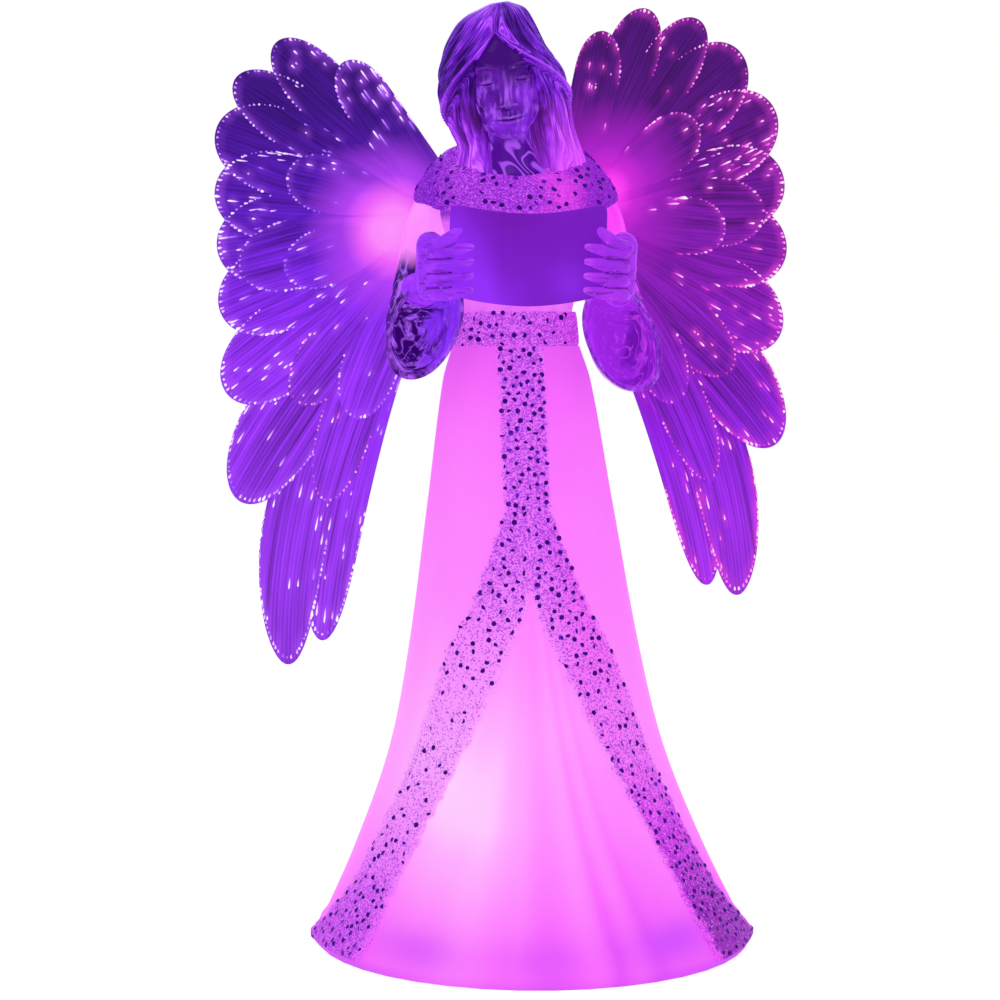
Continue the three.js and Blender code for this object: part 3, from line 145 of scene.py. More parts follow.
# How much lower and farther out each cuff hangs
CUFF_HANG = {-1: (-1.5, 0), 1: (2.5, 1.5)}
HUB_CORE = 16
STEM_WIDTH = 5
FEATHER_THICKNESS = 0.5
FEATHER_LAYER = 0.9
FAN_THICKNESS = 0.9
FAN_STEP = 0.6
LAYER_GAP = 0.35


class Feather(NamedTuple):
    """A feather: place in the fan (0 lowest, 1 highest), length on each wing, widths, bend and layer."""

    place: float
    left: float
    right: float
    width: float
    bend: float = 0
    layer: int = 0
    stem: float = STEM_WIDTH


FAN = [
    Feather(1.01, 66, 65, 18, stem=17), Feather(0.925, 89, 79, 21), Feather(0.825, 94.5, 88, 22),
    Feather(0.73, 94, 93, 30), Feather(0.62, 90, 95.5, 31), Feather(0.51, 89.5, 92.5, 31),
    Feather(0.395, 94, 93.5, 31), Feather(0.27, 106, 99.5, 31),
]
LONG_FEATHERS = {
    "upper": Feather(0.145, 129.5, 121, 31, 4, 0),
    "middle": Feather(0, 171, 154.5, 26, 17, 1),
    "lower": Feather(-0.028, 158, 145, 20, 9, 2, 12),
}
COVERTS = {
    "shoulder": Feather(0.68, 62.5, 62.5, 20, 0, 0),
    "hanging": Feather(0.166, 87.5, 87.5, 22, 0, 0),
    "wide": Feather(0.46, 81.5, 81.5, 24, 0, 1),
    "trailing": Feather(0.025, 111, 111, 20, 4, 1),
    "short": Feather(0.42, 64, 64, 20, 0, 2),
    "inner": Feather(0.04, 79, 79, 21, 2, 2),
}


class Hang(NamedTuple):
    """How one wing hangs: its side, lowest angle and spread, and where its light comes in from the hub."""

    side: int
    lowest: float
    spread: float
    glow: tuple


WINGS = {"left": Hang(-1, -68, 119.5, (20.5, -5)), "right": Hang(1, -61, 136, (17, 8))}


def srgb(red, green, blue):
    """A display colour, 0 to 255, as the linear colour that a shader takes."""
    shares = [value / 255 for value in (red, green, blue)]
    return tuple(s / 12.92 if s <= 0.04045 else ((s + 0.055) / 1.055) ** 2.4 for s in shares) + (1.0,)


def dimmed(colour, share):
    """A colour with only a share of its light."""
    return tuple(value * share for value in colour[:3]) + (1.0,)


class Wire:
    """One shader socket. An expression on wires adds its Math nodes."""

    def __init__(self, finish, socket):
        self.finish = finish
        self.socket = socket

    def math(self, operation, first, second=0.0):
        return self.finish.node("ShaderNodeMath", {"operation": operation}, {0: first, 1: second})

    def __add__(self, other):
        return self.math("ADD", self, other)

    def __sub__(self, other):
        return self.math("SUBTRACT", self, other)

    def __rsub__(self, other):
        return self.math("SUBTRACT", other, self)

    def __mul__(self, other):
        return self.math("MULTIPLY", self, other)

    def __truediv__(self, other):
        return self.math("DIVIDE", self, other)

    __radd__ = __add__
    __rmul__ = __mul__

    def clamped(self):
        return self.math("MINIMUM", self.math("MAXIMUM", self, 0.0), 1.0)

    def size(self):
        return self.math("ABSOLUTE", self)

    def folded(self):
        """Runs up and down between 0 and 1 as the value grows."""
        return self.math("PINGPONG", self, 0.5) * 2

    def bell(self, middle, width):
        """1 at the middle value, falling softly to 0 on both sides."""
        offset = (self - middle) / width
        return self.math("EXPONENT", offset * offset * -1)


class Finish:
    """A material being made: its nodes, and the surface that they end in."""

    def __init__(self, name, owner=None):
        self.material = owner or bpy.data.materials.new(name)
        self.material.use_nodes = True
        self.tree = self.material.node_tree
        self.tree.nodes.clear()

    def node(self, kind, settings=None, inputs=None, output=0):
        made = self.tree.nodes.new(kind)
        for key, value in (settings or {}).items():
            if key == "stops":
                ramp = made.color_ramp
                while len(ramp.elements) < len(value):
                    ramp.elements.new(1.0)
                for element, (position, colour) in zip(ramp.elements, value):
                    element.position = position
                    element.color = colour
            else:
                setattr(made, key, value)
        for key, value in (inputs or {}).items():
            if isinstance(value, Wire):
                self.tree.links.new(value.socket, made.inputs[key])
            else:
                made.inputs[key].default_value = value
        return Wire(self, made.outputs[output]) if made.outputs else None

    def place(self):
        """The point on the piece, in millimetres, as three wires."""
        spot = self.node("ShaderNodeTexCoord", output="Object")
        return [self.node("ShaderNodeSeparateXYZ", None, {0: spot}, axis) * 1000 for axis in "XYZ"]

    def value(self, name):
        return self.node("ShaderNodeAttribute", {"attribute_name": name}, None, "Fac")

    def vector(self, x, y, z):
        return self.node("ShaderNodeCombineXYZ", None, {0: x, 1: y, 2: z})

    def noise(self, vector, scale, detail=2.0):
        return self.node("ShaderNodeTexNoise", None, {"Vector": vector, "Scale": scale, "Detail": detail})

    def grains(self, vector, scale, output="Distance"):
        return self.node("ShaderNodeTexVoronoi", None, {"Vector": vector, "Scale": scale}, output)

    def ramp(self, factor, *stops):
        return self.node("ShaderNodeValToRGB", {"stops": stops}, {"Fac": factor})

    def blend(self, factor, first, second, mode="MIX"):
        settings = {"data_type": "RGBA", "blend_type": mode}
        return self.node("ShaderNodeMix", settings, {0: factor, 6: first, 7: second}, 2)

    def scaled(self, colour, factor):
        return self.node("ShaderNodeVectorMath", {"operation": "SCALE"}, {0: colour, "Scale": factor})

    def bump(self, height, depth, strength=1.0):
        return self.node("ShaderNodeBump", None, {"Height": height, "Distance": depth, "Strength": strength})

    def seen(self):
        """1 for rays that see the white set as it is, rather than by its light."""
        rays = ("Is Camera Ray", "Is Glossy Ray", "Is Transmission Ray")
        return sum(self.node("ShaderNodeLightPath", output=kind) for kind in rays).clamped()

    def glowing(self, colour, glow, base=0.15, **inputs):
        """Ends in a lit surface whose own light and reflected light share one colour."""
        return self.surface(
            Base_Color=self.scaled(colour, base), Emission_Color=self.scaled(colour, glow),
            Emission_Strength=1.0, Specular_IOR_Level=0.04, **inputs)

    def surface(self, **inputs):
        named = {key.replace("_", " "): value for key, value in inputs.items()}
        shader = self.node("ShaderNodeBsdfPrincipled", None, named)
        self.node("ShaderNodeOutputMaterial", None, {"Surface": shader})
        return self.material


class Profile:
    """A smooth curve through (position, value) pairs."""

    def __init__(self, *pairs):
        self.at, self.value = np.array(pairs, float).T
        before = np.maximum(np.arange(len(pairs)) - 1, 0)
        after = np.minimum(np.arange(len(pairs)) + 1, len(pairs) - 1)
        self.slope = (self.value[after] - self.value[before]) / (self.at[after] - self.at[before])

    def __call__(self, position):
        at = np.clip(np.asarray(position, float), self.at[0], self.at[-1])
        i = np.clip(np.searchsorted(self.at, at, side="right") - 1, 0, len(self.at) - 2)
        span = self.at[i + 1] - self.at[i]
        t = (at - self.at[i]) / span
        rise = self.value[i + 1] - self.value[i]
        leave = self.slope[i] * span * t * (1 - t) ** 2
        arrive = self.slope[i + 1] * span * t * t * (t - 1)
        return self.value[i] + rise * t * t * (3 - 2 * t) + leave + arrive


def turns(count):
    """Angles all the way around, in even steps."""
    return np.linspace(0, 2 * math.pi, count, endpoint=False)


def wrapped(angle):
    """Angles brought to the range from -pi to pi."""
    return (np.asarray(angle) + math.pi) % (2 * math.pi) - math.pi


def unit(vectors):
    """Rows of vectors, each made one long."""
    return vectors / np.linalg.norm(vectors, axis=1)[:, None]


def bell(distance, width):
    """1 at no distance, falling softly to 0 on both sides."""
    return np.exp(-((np.asarray(distance) / width) ** 2))


def ripple(*terms):
    """A smooth wandering value from -1 to 1, for wrinkles: a sum of sines of the given phases."""
    return sum(np.sin(term) for term in terms) / len(terms)


def new_piece(name, points, faces, values=None, smooth=True):
    """A mesh object from points in millimetres, with named values on its points."""
    mesh = bpy.data.meshes.new(name)
    mesh.from_pydata((np.asarray(points, float) * MM).tolist(), [], [list(map(int, f)) for f in faces])
    work = bmesh.new()
    work.from_mesh(mesh)
    bmesh.ops.recalc_face_normals(work, faces=work.faces)
    work.to_mesh(mesh)
    work.free()
    for key, numbers in (values or {}).items():
        mesh.attributes.new(key, "FLOAT", "POINT").data.foreach_set("value", np.asarray(numbers, float))
    mesh.polygons.foreach_set("use_smooth", [smooth] * len(mesh.polygons))
    piece = bpy.data.objects.new(name, mesh)
    bpy.context.scene.collection.objects.link(piece)
    return piece


def dress(piece, material, body, slot, *nodes):
    """Gives a piece its material, the body that it rides on and the nodes it stands for. The record slot is not
    used.
    """
    piece.data.materials.clear()
    piece.data.materials.append(material)
    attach(piece, body)
    if nodes:
        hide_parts(*nodes)
    return piece


def grid_faces(rows, columns, around=False, start=0):
    """Quads over a grid of points, closed across its columns where it goes around."""
    last = columns if around else columns - 1
    return [
        (start + r * columns + c, start + r * columns + (c + 1) % columns,
         start + (r + 1) * columns + (c + 1) % columns, start + (r + 1) * columns + c)
        for r in range(rows - 1) for c in range(last)
    ]


def rim_faces(first, second):
    """Quads between two closed loops of point numbers."""
    count = len(first)
    return [(first[i], first[(i + 1) % count], second[(i + 1) % count], second[i]) for i in range(count)]


def closed_faces(rows, columns):
    """Quads over rings that also close from the last ring to the first."""
    last = (rows - 1) * columns
    ends = rim_faces(list(range(last, last + columns)), list(range(columns)))
    return grid_faces(rows, columns, True) + ends


def tube_shell(outer, inner):
    """A closed wall between an outer and an inner grid of rings, shaped (rings, points, 3)."""
    rings, count = outer.shape[:2]
    size = rings * count
    faces = grid_faces(rings, count, True) + grid_faces(inner.shape[0], count, True, size)
    ends = [(0, size), (size - count, size + (inner.shape[0] - 1) * count)]
    for one, other in ends:
        faces += rim_faces([one + i for i in range(count)], [other + i for i in range(count)])
    return np.concatenate([outer.reshape(-1, 3), inner.reshape(-1, 3)]), faces


def capped(rings):
    """A closed form over rings, shaped (rings, points, 3), with a cap at each end."""
    count = rings.shape[1]
    last = (rings.shape[0] - 1) * count
    faces = grid_faces(rings.shape[0], count, True)
    return rings.reshape(-1, 3), faces + [tuple(range(count)), tuple(range(last, last + count))]


def plate_shell(front, back):
    """A closed plate between a front and a back grid, shaped (rows, columns, 3)."""
    rows, columns = front.shape[:2]
    size = rows * columns
    edge = [c for c in range(columns)] + [r * columns + columns - 1 for r in range(1, rows)]
    edge += [(rows - 1) * columns + c for c in range(columns - 2, -1, -1)]
    edge += [r * columns for r in range(rows - 2, 0, -1)]
    faces = grid_faces(rows, columns) + grid_faces(rows, columns, False, size)
    faces += rim_faces(edge, [size + i for i in edge])
    return np.concatenate([front.reshape(-1, 3), back.reshape(-1, 3)]), faces


def placed(points, matrix):
    """Points moved by a 4 by 4 matrix in millimetres."""
    turn = np.array(matrix)
    return np.asarray(points) @ turn[:3, :3].T + turn[:3, 3]


def to_body(points):
    """Points from the upper body's frame at the waist to the part's frame."""
    return np.asarray(points) + np.array([WAIST_LEAN, 0, WAIST_Z])


HEAD_PLACE = Matrix.Translation((HEAD_SHIFT, HEAD_FORWARD, TORSO_HEIGHT)) @ (
    Matrix.Rotation(math.radians(HEAD_NOD), 4, "X") @ Matrix.Rotation(-math.radians(HEAD_TILT), 4, "Y")
)
BOOK_PLACE = Matrix.Translation((0, BOOK_REACH, BOOK_RISE)) @ (
    Matrix.Rotation(math.radians(BOOK_LEAN), 4, "X")
)

# Skirt
skirt_half = Profile(
    (0, HEM_HALF_WIDTH), (26.6, 58.8), (60, 46.2), (93.6, 38.8), (144, 30.9),
    (SKIRT_HEIGHT - 11.7, 24.8), (SKIRT_HEIGHT, WAIST_HALF_WIDTH),
)


def skirt_fold(angle, rise):
    """Folds that fan out from the fork of the bands and deepen towards the hem."""
    creases = (
        (-0.45, 0.16, 1.0), (-0.16, 0.05, 0.35), (-0.02, 0.1, -0.5), (0.18, 0.09, 0.9), (0.31, 0.04, -1.0),
        (0.41, 0.06, 0.5), (0.53, 0.05, -0.8),
    )
    fan = np.maximum(1 - 1.22 * rise, 0.25)
    front = sum(depth * bell(angle - middle * fan, width * fan) for middle, width, depth in creases)
    return (1 - rise) ** 1.6 * (0.6 * np.cos(8 * angle) * (1 - bell(angle, 0.9)) + front)


def skirt_point(angle, height, inset=0.0):
    """Points on the skirt: the angle is 0 at the front and grows towards +X."""
    turn = wrapped(angle)
    rise = np.clip(height / SKIRT_HEIGHT, 0, 1)
    half = skirt_half(height) + skirt_fold(turn, rise) - inset
    depth = HEM_DEPTH_RATIO + (WAIST_DEPTH_RATIO - HEM_DEPTH_RATIO) * rise
    x = WAIST_LEAN * rise + half * np.sin(turn)
    y = -half * depth * np.cos(turn)
    return np.stack(np.broadcast_arrays(x, y, HEM_Z + height), -1)


def frosted_finish(settings):
    """Frosted shell lit from inside, its light painted in: brightest low at the front, deeper at the waist and at
    the hem, with painted shade and light along the folds and painted shade in three soft patches low at the front.
    """
    skin = Finish("frosted_glow")
    x, y, z = skin.place()
    front = (y / -20).clamped()
    levels = (
        (0.0, 0.1), (0.05, 0.13), (0.13, 0.28), (0.23, 0.42), (0.38, 0.5), (0.55, 0.42), (0.7, 0.37),
        (0.86, 0.26), (1.0, 0.08),
    )
    rise = skin.ramp(z / 200, *((at, (level, level, level, 1)) for at, level in levels))
    # Painted light: a soft pool of light low at the left front; the folds add painted shade in their hollows and
    # painted light on their crests
    near = x.bell(-27, 22) * z.bell(50, 38) * front
    cloud = skin.noise(skin.vector(x * 0.03, y * 0.03, z * 0.012), 1.0, 3.0)
    level = rise + near * 0.42 + (cloud - 0.5) * 0.2 + skin.value("fold") * 0.13 - x * 0.001
    lit = skin.ramp(
        level.clamped(),
        (0.0, settings.deep_colour), (0.2, srgb(250, 108, 254)), (0.45, srgb(255, 138, 255)),
        (0.75, srgb(255, 176, 255)), (1.0, settings.bright_colour),
    )
    # Painted shade: three soft violet patches low at the front of the skirt
    spots = ((-42, 9.5, 0.55), (-3, 9, 0.35), (40, 11, 0.8))
    low_shadows = sum((x.bell(at, 13) * z.bell(height, 5.5) * depth for at, height, depth in spots), 0)
    shaded = skin.blend((low_shadows * front).clamped(), lit, srgb(206, 78, 255))
    # Painted shade: violet along the hem, most towards the sides
    ends = (((x - WAIST_LEAN).size() - 34) / 30).clamped()
    colour = skin.blend(((4 - z) / 4).clamped() * (0.25 + ends * 0.55), shaded, srgb(196, 62, 255))
    grain = skin.noise(skin.vector(x, y, z), 0.9, 3.0)
    return skin.glowing(
        colour, settings.skirt_glow, 0.2, Roughness=0.42 + grain * 0.16,
        Normal=skin.bump(grain, 0.0001, 0.4))


def glitter_finish():
    """Bed of fine glitter over the lit skirt: dark specks on pink, thin in places, with painted glints, painted
    shade that turns the collar violet, and a painted pink light on the collar.
    """
    bed = Finish("glitter_bed")
    x, y, z = bed.place()
    spot = bed.vector(x, y, z)
    fine = bed.grains(spot, 2.4)
    tone = bed.node("ShaderNodeSeparateColor", None, {0: bed.grains(spot, 2.4, "Color")}, "Red")
    patch = bed.noise(spot, 0.12, 2.0)
    lit = bed.ramp(
        z / 240,
        (0.04, srgb(236, 102, 253)), (0.17, srgb(253, 150, 253)), (0.27, srgb(254, 174, 253)),
        (0.42, srgb(254, 148, 253)), (0.62, srgb(250, 126, 253)), (0.9, srgb(240, 110, 253)),
    )
    cover = bed.value("cover")
    right = ((x + 2) / 16).clamped()
    tint = bed.blend(right, srgb(214, 90, 248), srgb(236, 76, 244))
    tinted = bed.blend((cover * 0.62 + right * 0.3).clamped(), lit, tint)
    specks = ((cover * 0.5 + (patch - 0.5) * 0.16 - tone) * 6 + 0.5).clamped()
    speck = bed.blend((cover - 0.95).clamped(), srgb(146, 42, 210), srgb(104, 20, 158))
    specked = bed.blend(specks * 0.78, tinted, speck)
    # Painted glints: pale light on the brightest grains where the glitter lies thick
    bright = bed.blend(((tone - 0.9) * 9).clamped() * cover.clamped() * 0.6, specked, srgb(250, 170, 255))
    # Painted shade: the collar darker and more violet, darkest towards its ends
    high = ((z - 236) / 6).clamped()
    ends = (((x + 8).size() - 17) / 9).clamped()
    collar_dimmed = bed.blend(high, bright, bed.blend(1.0, bright, (0.8, 0.6, 0.96, 1), "MULTIPLY"))
    shaded = bed.blend(high * ends, collar_dimmed, bed.blend(1.0, collar_dimmed, (0.62, 0.45, 0.85, 1), "MULTIPLY"))
    # Painted light: a patchy pink light on the collar, just right of the middle
    rose_glow = bed.blend(high * x.bell(7, 8) * (patch * 4 - 1.4).clamped() * 0.6, shaded, srgb(252, 74, 246))
    return bed.glowing(
        rose_glow, 0.88, Roughness=0.35 + tone * 0.3, Normal=bed.bump(fine, 0.0002, 0.6))


def flake_finish(settings):
    """Small foil flakes, deep violet where they don't catch the light."""
    foil = Finish("foil_flakes")
    x, y, z = foil.place()
    tone = foil.noise(foil.vector(x, y, z), 0.35, 1.0)
    colour = foil.ramp(tone, (0.3, srgb(42, 0, 96)), (0.6, settings.flake_colour), (0.76, srgb(92, 30, 196)))
    return foil.glowing(colour, 0.85, 0.3, Roughness=0.3 + tone * 0.2)


def clear_finish(name, dark, mid, edge_highlight, glow, crease):
    """Clear tinted plastic lit through: painted shade in its creases and hollows, painted highlights along its
    edges and at the fingertips, painted shade under the collar, finely streaked.
    """
    clear = Finish(name)
    x, y, z = clear.place()
    spot = clear.vector(x, y, z)
    fine = clear.noise(clear.vector(x * 0.14, y * 0.3, z * 0.9), 1.0, 3.0)
    hollow = clear.node("ShaderNodeNewGeometry", output="Pointiness")
    body = clear.blend(((clear.noise(spot, 0.12, 3.0) - 0.35) * 2.6).clamped(), dark, mid)
    # Painted shade: dark lines in the creases, darker still in the hollows
    creased = clear.blend((0.46 - fine).clamped() * crease, body, dimmed(dark, 0.4))
    shaded = clear.blend(((0.497 - hollow) * 26).clamped() * 0.9, creased, dimmed(dark, 0.22))
    # Painted highlight along the raised edges
    raised = clear.blend(((hollow - 0.53) * 12).clamped() * 0.35, shaded, edge_highlight)
    # Painted highlight: pink light on the fingertips towards the middle
    inward = ((20.5 - (x - WAIST_LEAN).size()) / 3).clamped()
    tip_highlight = inward * ((z - 212) / 2).clamped() * (fine * 3 - 1).clamped()
    tip_highlighted = clear.blend(tip_highlight * 0.45, raised, srgb(244, 120, 240))
    # Painted shade: darker just under the collar
    colour = clear.blend(((z - 240) / 3).clamped() * 0.85, tip_highlighted, srgb(124, 34, 196))
    return clear.glowing(colour, glow, Roughness=0.12 + fine * 0.1, Normal=clear.bump(fine, 0.0003, 0.5))


def skin_finish(light):
    """Clear face and neck: painted shade under the hair, painted bright streaks down the face, painted bent light
    lines on the neck, painted shade in hollows and painted highlights on edges.
    """
    skin = Finish("clear_face")
    x, y, z = skin.place()
    spot = skin.vector(x, y, z)
    hollow = skin.node("ShaderNodeNewGeometry", output="Pointiness")
    streak = skin.noise(skin.vector(x * 0.6, y * 0.5, z * 0.16), 1.0, 3.0)
    warp = skin.noise(skin.vector((x + z) * 0.06, y * 0.03, (z - x) * 0.035), 1.0, 1.0)
    bends = (((warp * 10 + x * 0.05).folded() - 0.62) * 4.5).clamped() * 0.8
    # Painted shade: the face dark under the hair, lit below it
    below = ((291 - z) / 8).clamped()
    throat = ((269 - z) / 3).clamped()
    cloud = ((skin.noise(spot, 0.13, 3.0) - 0.33) * 2.8).clamped()
    face = skin.blend((cloud * below).clamped(), srgb(62, 10, 116), light)
    # Painted light: bright streaks down the face and bent bright lines on the neck, for light bent through the
    # clear plastic
    lines = skin.blend(((streak - 0.49) * 5).clamped() * below * 0.8, face, srgb(172, 84, 252))
    neck = skin.blend(bends, srgb(82, 16, 146), srgb(180, 86, 252))
    mixed = skin.blend(throat, lines, neck)
    # Painted shade in the hollows and painted highlight on the raised edges
    creased = skin.blend(((0.492 - hollow) * 26).clamped() * 0.85, mixed, srgb(34, 0, 78))
    raised = ((hollow - 0.508) * 18).clamped() * ((z - 271) / 3).clamped() * (0.2 + below * 0.5)
    colour = skin.blend(raised, creased, srgb(186, 108, 255))
    return skin.glowing(colour, 0.9, Roughness=0.12 + streak * 0.1)


def strand_finish(middle):
    """Clear moulded hair: fine painted bright lines and glints along the strands over a deep violet, painted pink
    light near the collar.
    """
    hair = Finish("clear_hair")
    x, y, z = hair.place()
    strand = hair.value("strand")
    # The ridge value holds the locks' ridges, with painted highlights along their edges and painted shade under
    # the parted locks
    ridge = hair.value("ridge")
    fine = hair.noise(hair.vector(strand * 1.1 + x * 0.45, z * 0.08, y * 0.3), 1.0, 3.0)
    glint = hair.noise(hair.vector(strand * 1.9 + x * 0.6, z * 0.13, 9.0), 1.0, 2.0)
    broad = hair.noise(hair.vector(strand * 0.2, z * 0.06, 5.0), 1.0, 2.0)
    # Painted light and shade: glints along the strands, a highlight at the crown, two patches of shade, more light
    # low down and to the right
    low = (1 - (z - 258) / 26).clamped()
    crown = x.bell(-16, 9) * z.bell(307, 8)
    dark = x.bell(-25, 9) * z.bell(292, 12) + x.bell(-4, 8) * z.bell(304, 7)
    thin = ((glint - 0.54) * 6).clamped()
    level = (fine - 0.5) * 1.7 + (ridge - 0.5) * 0.6 + (broad - 0.5) * 1.1 + thin * 0.34 + low * 0.24
    shifted = level + crown * 0.35 - dark * 0.18 + x * 0.003
    colour = hair.ramp(
        (shifted + 0.36).clamped(),
        (0.0, srgb(40, 2, 90)), (0.22, srgb(74, 14, 142)), (0.48, middle),
        (0.74, srgb(168, 64, 253)), (1.0, srgb(220, 114, 255)),
    )
    # Painted light: pink light on the lower hair, most on the right and on the ridges
    side = ((x + 14) / 24).clamped()
    pink_lit = hair.blend((low * (ridge * 0.6 + 0.2) * (side * 0.95 + 0.3)).clamped(), colour, srgb(240, 82, 252))
    return hair.glowing(pink_lit, 0.9, Roughness=0.16 + fine * 0.12)


def sleeve_finish(name, side, arm, lit, shade, bell_glint, lining, inward):
    """Clear sleeve: painted light at the upper arm, painted shade with painted bright lines in the bell, smooth
    lining with painted glints, painted highlight along the lip.
    """
    cloth = Finish(name)
    x, y, z = cloth.place()
    along = cloth.value("along")
    inside = cloth.value("inside")
    warp = cloth.noise(cloth.vector(x * 0.07, y * 0.07, z * 0.05), 1.0, 2.0)
    blot = cloth.noise(cloth.vector(x * 0.16, y * 0.16, z * 0.1), 1.0, 3.0)
    fine = cloth.noise(cloth.vector(x * 0.7, y * 0.7, z * 0.3), 1.0, 3.0)
    # Painted light: bright lines, patches and glints over the bell's painted shade, and glints in the lining
    lines = (((warp * 9).folded() - 0.74) * 6).clamped()
    bright = (lines * 0.5 + (blot - 0.57).clamped() * 9 + (fine - 0.58).clamped() * 4).clamped()
    bellow = cloth.blend(bright, shade, bell_glint)
    toward = ((x * -side - WAIST_LEAN * -side + inward) / 7 + (blot - 0.5) * 4).clamped()
    inner = cloth.blend(toward, bellow, cloth.blend((fine - 0.56).clamped() * 3, lining, bell_glint))
    skin = cloth.blend(inside, bellow, inner)
    # Painted highlight: a broken pale ring along the lip
    lip = ((along - 0.98) * 70).clamped() * (fine * 2.2 - 0.7).clamped()
    lip_lit = cloth.blend(lip * 0.7, skin, srgb(176, 86, 252))
    # Painted light: the upper arm lit pink, paler in patches
    glow = cloth.blend((warp * 1.8 - 0.5).clamped(), arm, lit)
    edge = ((along + (warp - 0.5) * 0.3 - 0.3) * 10).clamped()
    colour = cloth.blend(edge, glow, lip_lit)
    return cloth.glowing(
        colour, 0.88, Roughness=0.14 + warp * 0.12, Normal=cloth.bump(warp, 0.0008, 0.5))


def book_finish(name, satin, bright):
    """Satin book in even violet, a little lighter where the light comes through low at its left."""
    cover = Finish(name)
    x, y, z = cover.place()
    cloud = cover.noise(cover.vector(x * 0.05, y * 0.05, z * 0.05), 1.0, 2.0)
    side = ((-14 - x) / 14).clamped()
    low = ((2 - x) / 20).clamped() * (232 - z) * 0.035 + x.bell(8, 9) * z.bell(219, 9) * 0.4
    level = 0.22 + side * 0.75 + low + (cloud - 0.5) * 0.3
    colour = cover.ramp(
        level.clamped(),
        (0.0, srgb(116, 23, 180)), (0.4, satin), (1.0, srgb(152, 48, 255)),
    )
    weave = cover.noise(cover.vector(x, y, z), 1.6, 2.0)
    return cover.glowing(
        colour, bright, 0.12, Roughness=0.38 + weave * 0.16, Normal=cover.bump(weave, 0.0001, 0.5))


def fibre_finish(name, heights, glow, spread, halo_colour):
    """Sheet of light fibres: lit where the light comes in, darker with height, streaked along each fibre, with
    painted shade between the fibres.
    """
    sheet = Finish(name)
    z = sheet.place()[2]
    fibre = sheet.value("fibre")
    along = sheet.value("along")
    reach = sheet.value("reach")
    shade = sheet.value("shade")
    fine = sheet.noise(sheet.vector(fibre * 0.9, along * 2.2, shade * 9), 1.0, 3.0)
    broad = sheet.noise(sheet.vector(fibre * 0.11, along * 1.3, shade * 5), 1.0, 2.0)
    base = sheet.ramp(((z - 100) / 220 + (broad - 0.5) * 0.12).clamped(), *heights)
    out = ((reach - 10) / 26).clamped()
    # Painted shade between the fibres away from the light, with the fibres' light streaked along them
    streak = 1.05 - out * (1 - fibre.folded()) * 0.28 + out * ((fine - 0.5) * 1.7 + (broad - 0.5) * 0.9)
    streaked = sheet.scaled(base, streak)
    lit = sheet.ramp((reach / 30).clamped(), *glow)
    near = (1 - (reach + (broad - 0.5) * 22 - spread) / 20).clamped()
    glowing = sheet.blend(near, streaked, lit)
    colour = sheet.blend(sheet.value("halo").clamped(), glowing, halo_colour)
    return sheet.glowing(colour, 0.9, 0.1, Roughness=0.35 + fine * 0.2)


def spark_finish(name, sheet, core, rim, tinted):
    """Cut fibre ends that glow: a hot head, and a tail that cools to the sheet's colour."""
    spark = Finish(name)
    power = spark.value("power")
    plain = spark.ramp(power, (0.0, sheet), (0.4, rim), (0.75, core), (1.0, srgb(255, 250, 255)))
    warm = spark.ramp(power, (0.0, sheet), (0.45, tinted), (1.0, srgb(255, 200, 250)))
    colour = spark.blend(spark.value("tint"), plain, warm)
    return spark.glowing(colour, 1.0, 0.1, Roughness=0.4)


def plastic_finish(name, colour, roughness):
    """Moulded plastic with a fine spark-eroded grain, slightly darker in broad soft patches."""
    shell = Finish(name)
    x, y, z = shell.place()
    spot = shell.vector(x, y, z)
    grain = shell.noise(spot, 2.2, 3.0)
    # Slightly darker colour in broad soft patches
    mottle = shell.noise(spot, 0.05, 1.0)
    return shell.surface(
        Base_Color=shell.blend(mottle * 0.6, colour, dimmed(colour, 0.82)),
        Roughness=roughness + (grain - 0.5) * 0.18,
        Normal=shell.bump(grain, 0.00006, 0.6),
    )


def steel_finish():
    """Plated steel with a fine brushed grain."""
    steel = Finish("plated_steel")
    x, y, z = steel.place()
    brush = steel.noise(steel.vector(x * 0.2, y * 5, z * 5), 1.0, 2.0)
    colour = steel.ramp(brush, (0.3, srgb(168, 170, 178)), (0.7, srgb(206, 208, 214)))
    return steel.surface(Base_Color=colour, Metallic=1.0, Roughness=0.22 + brush * 0.2)


def cell_finish():
    """Plain battery sleeve: a dark body with a pale band at its raised end."""
    sleeve = Finish("cell_sleeve")
    x, y, z = sleeve.place()
    band = ((x.size() - 15) * 2).clamped()
    film = sleeve.noise(sleeve.vector(x, y, z), 0.4, 2.0)
    colour = sleeve.blend(band, srgb(38, 60, 92), srgb(196, 168, 108))
    return sleeve.surface(Base_Color=colour, Metallic=0.35, Roughness=0.25 + film * 0.2)


def board_finish():
    """Lacquered board with fine tracks."""
    board = Finish("lacquered_board")
    x, y, z = board.place()
    track = board.node("ShaderNodeTexBrick", None, {
        "Vector": board.vector(x, y, z), "Scale": 0.35, "Color1": srgb(22, 92, 46),
        "Color2": srgb(26, 104, 52), "Mortar": srgb(48, 140, 78), "Mortar Size": 0.03,
    })
    gloss = board.noise(board.vector(x, y, z), 0.5, 2.0)
    return board.surface(Base_Color=track, Roughness=0.25 + gloss * 0.2)


def lamp_finish():
    """Lit lamp: clear dome with a bright middle."""
    lamp = Finish("lit_lamp")
    x, y, z = lamp.place()
    soft = lamp.noise(lamp.vector(x, y, z), 0.8, 1.0)
    colour = lamp.ramp(soft, (0.3, srgb(255, 190, 255)), (0.7, srgb(255, 240, 255)))
    return lamp.surface(Base_Color=colour, Roughness=0.1, Emission_Color=colour, Emission_Strength=1.0)


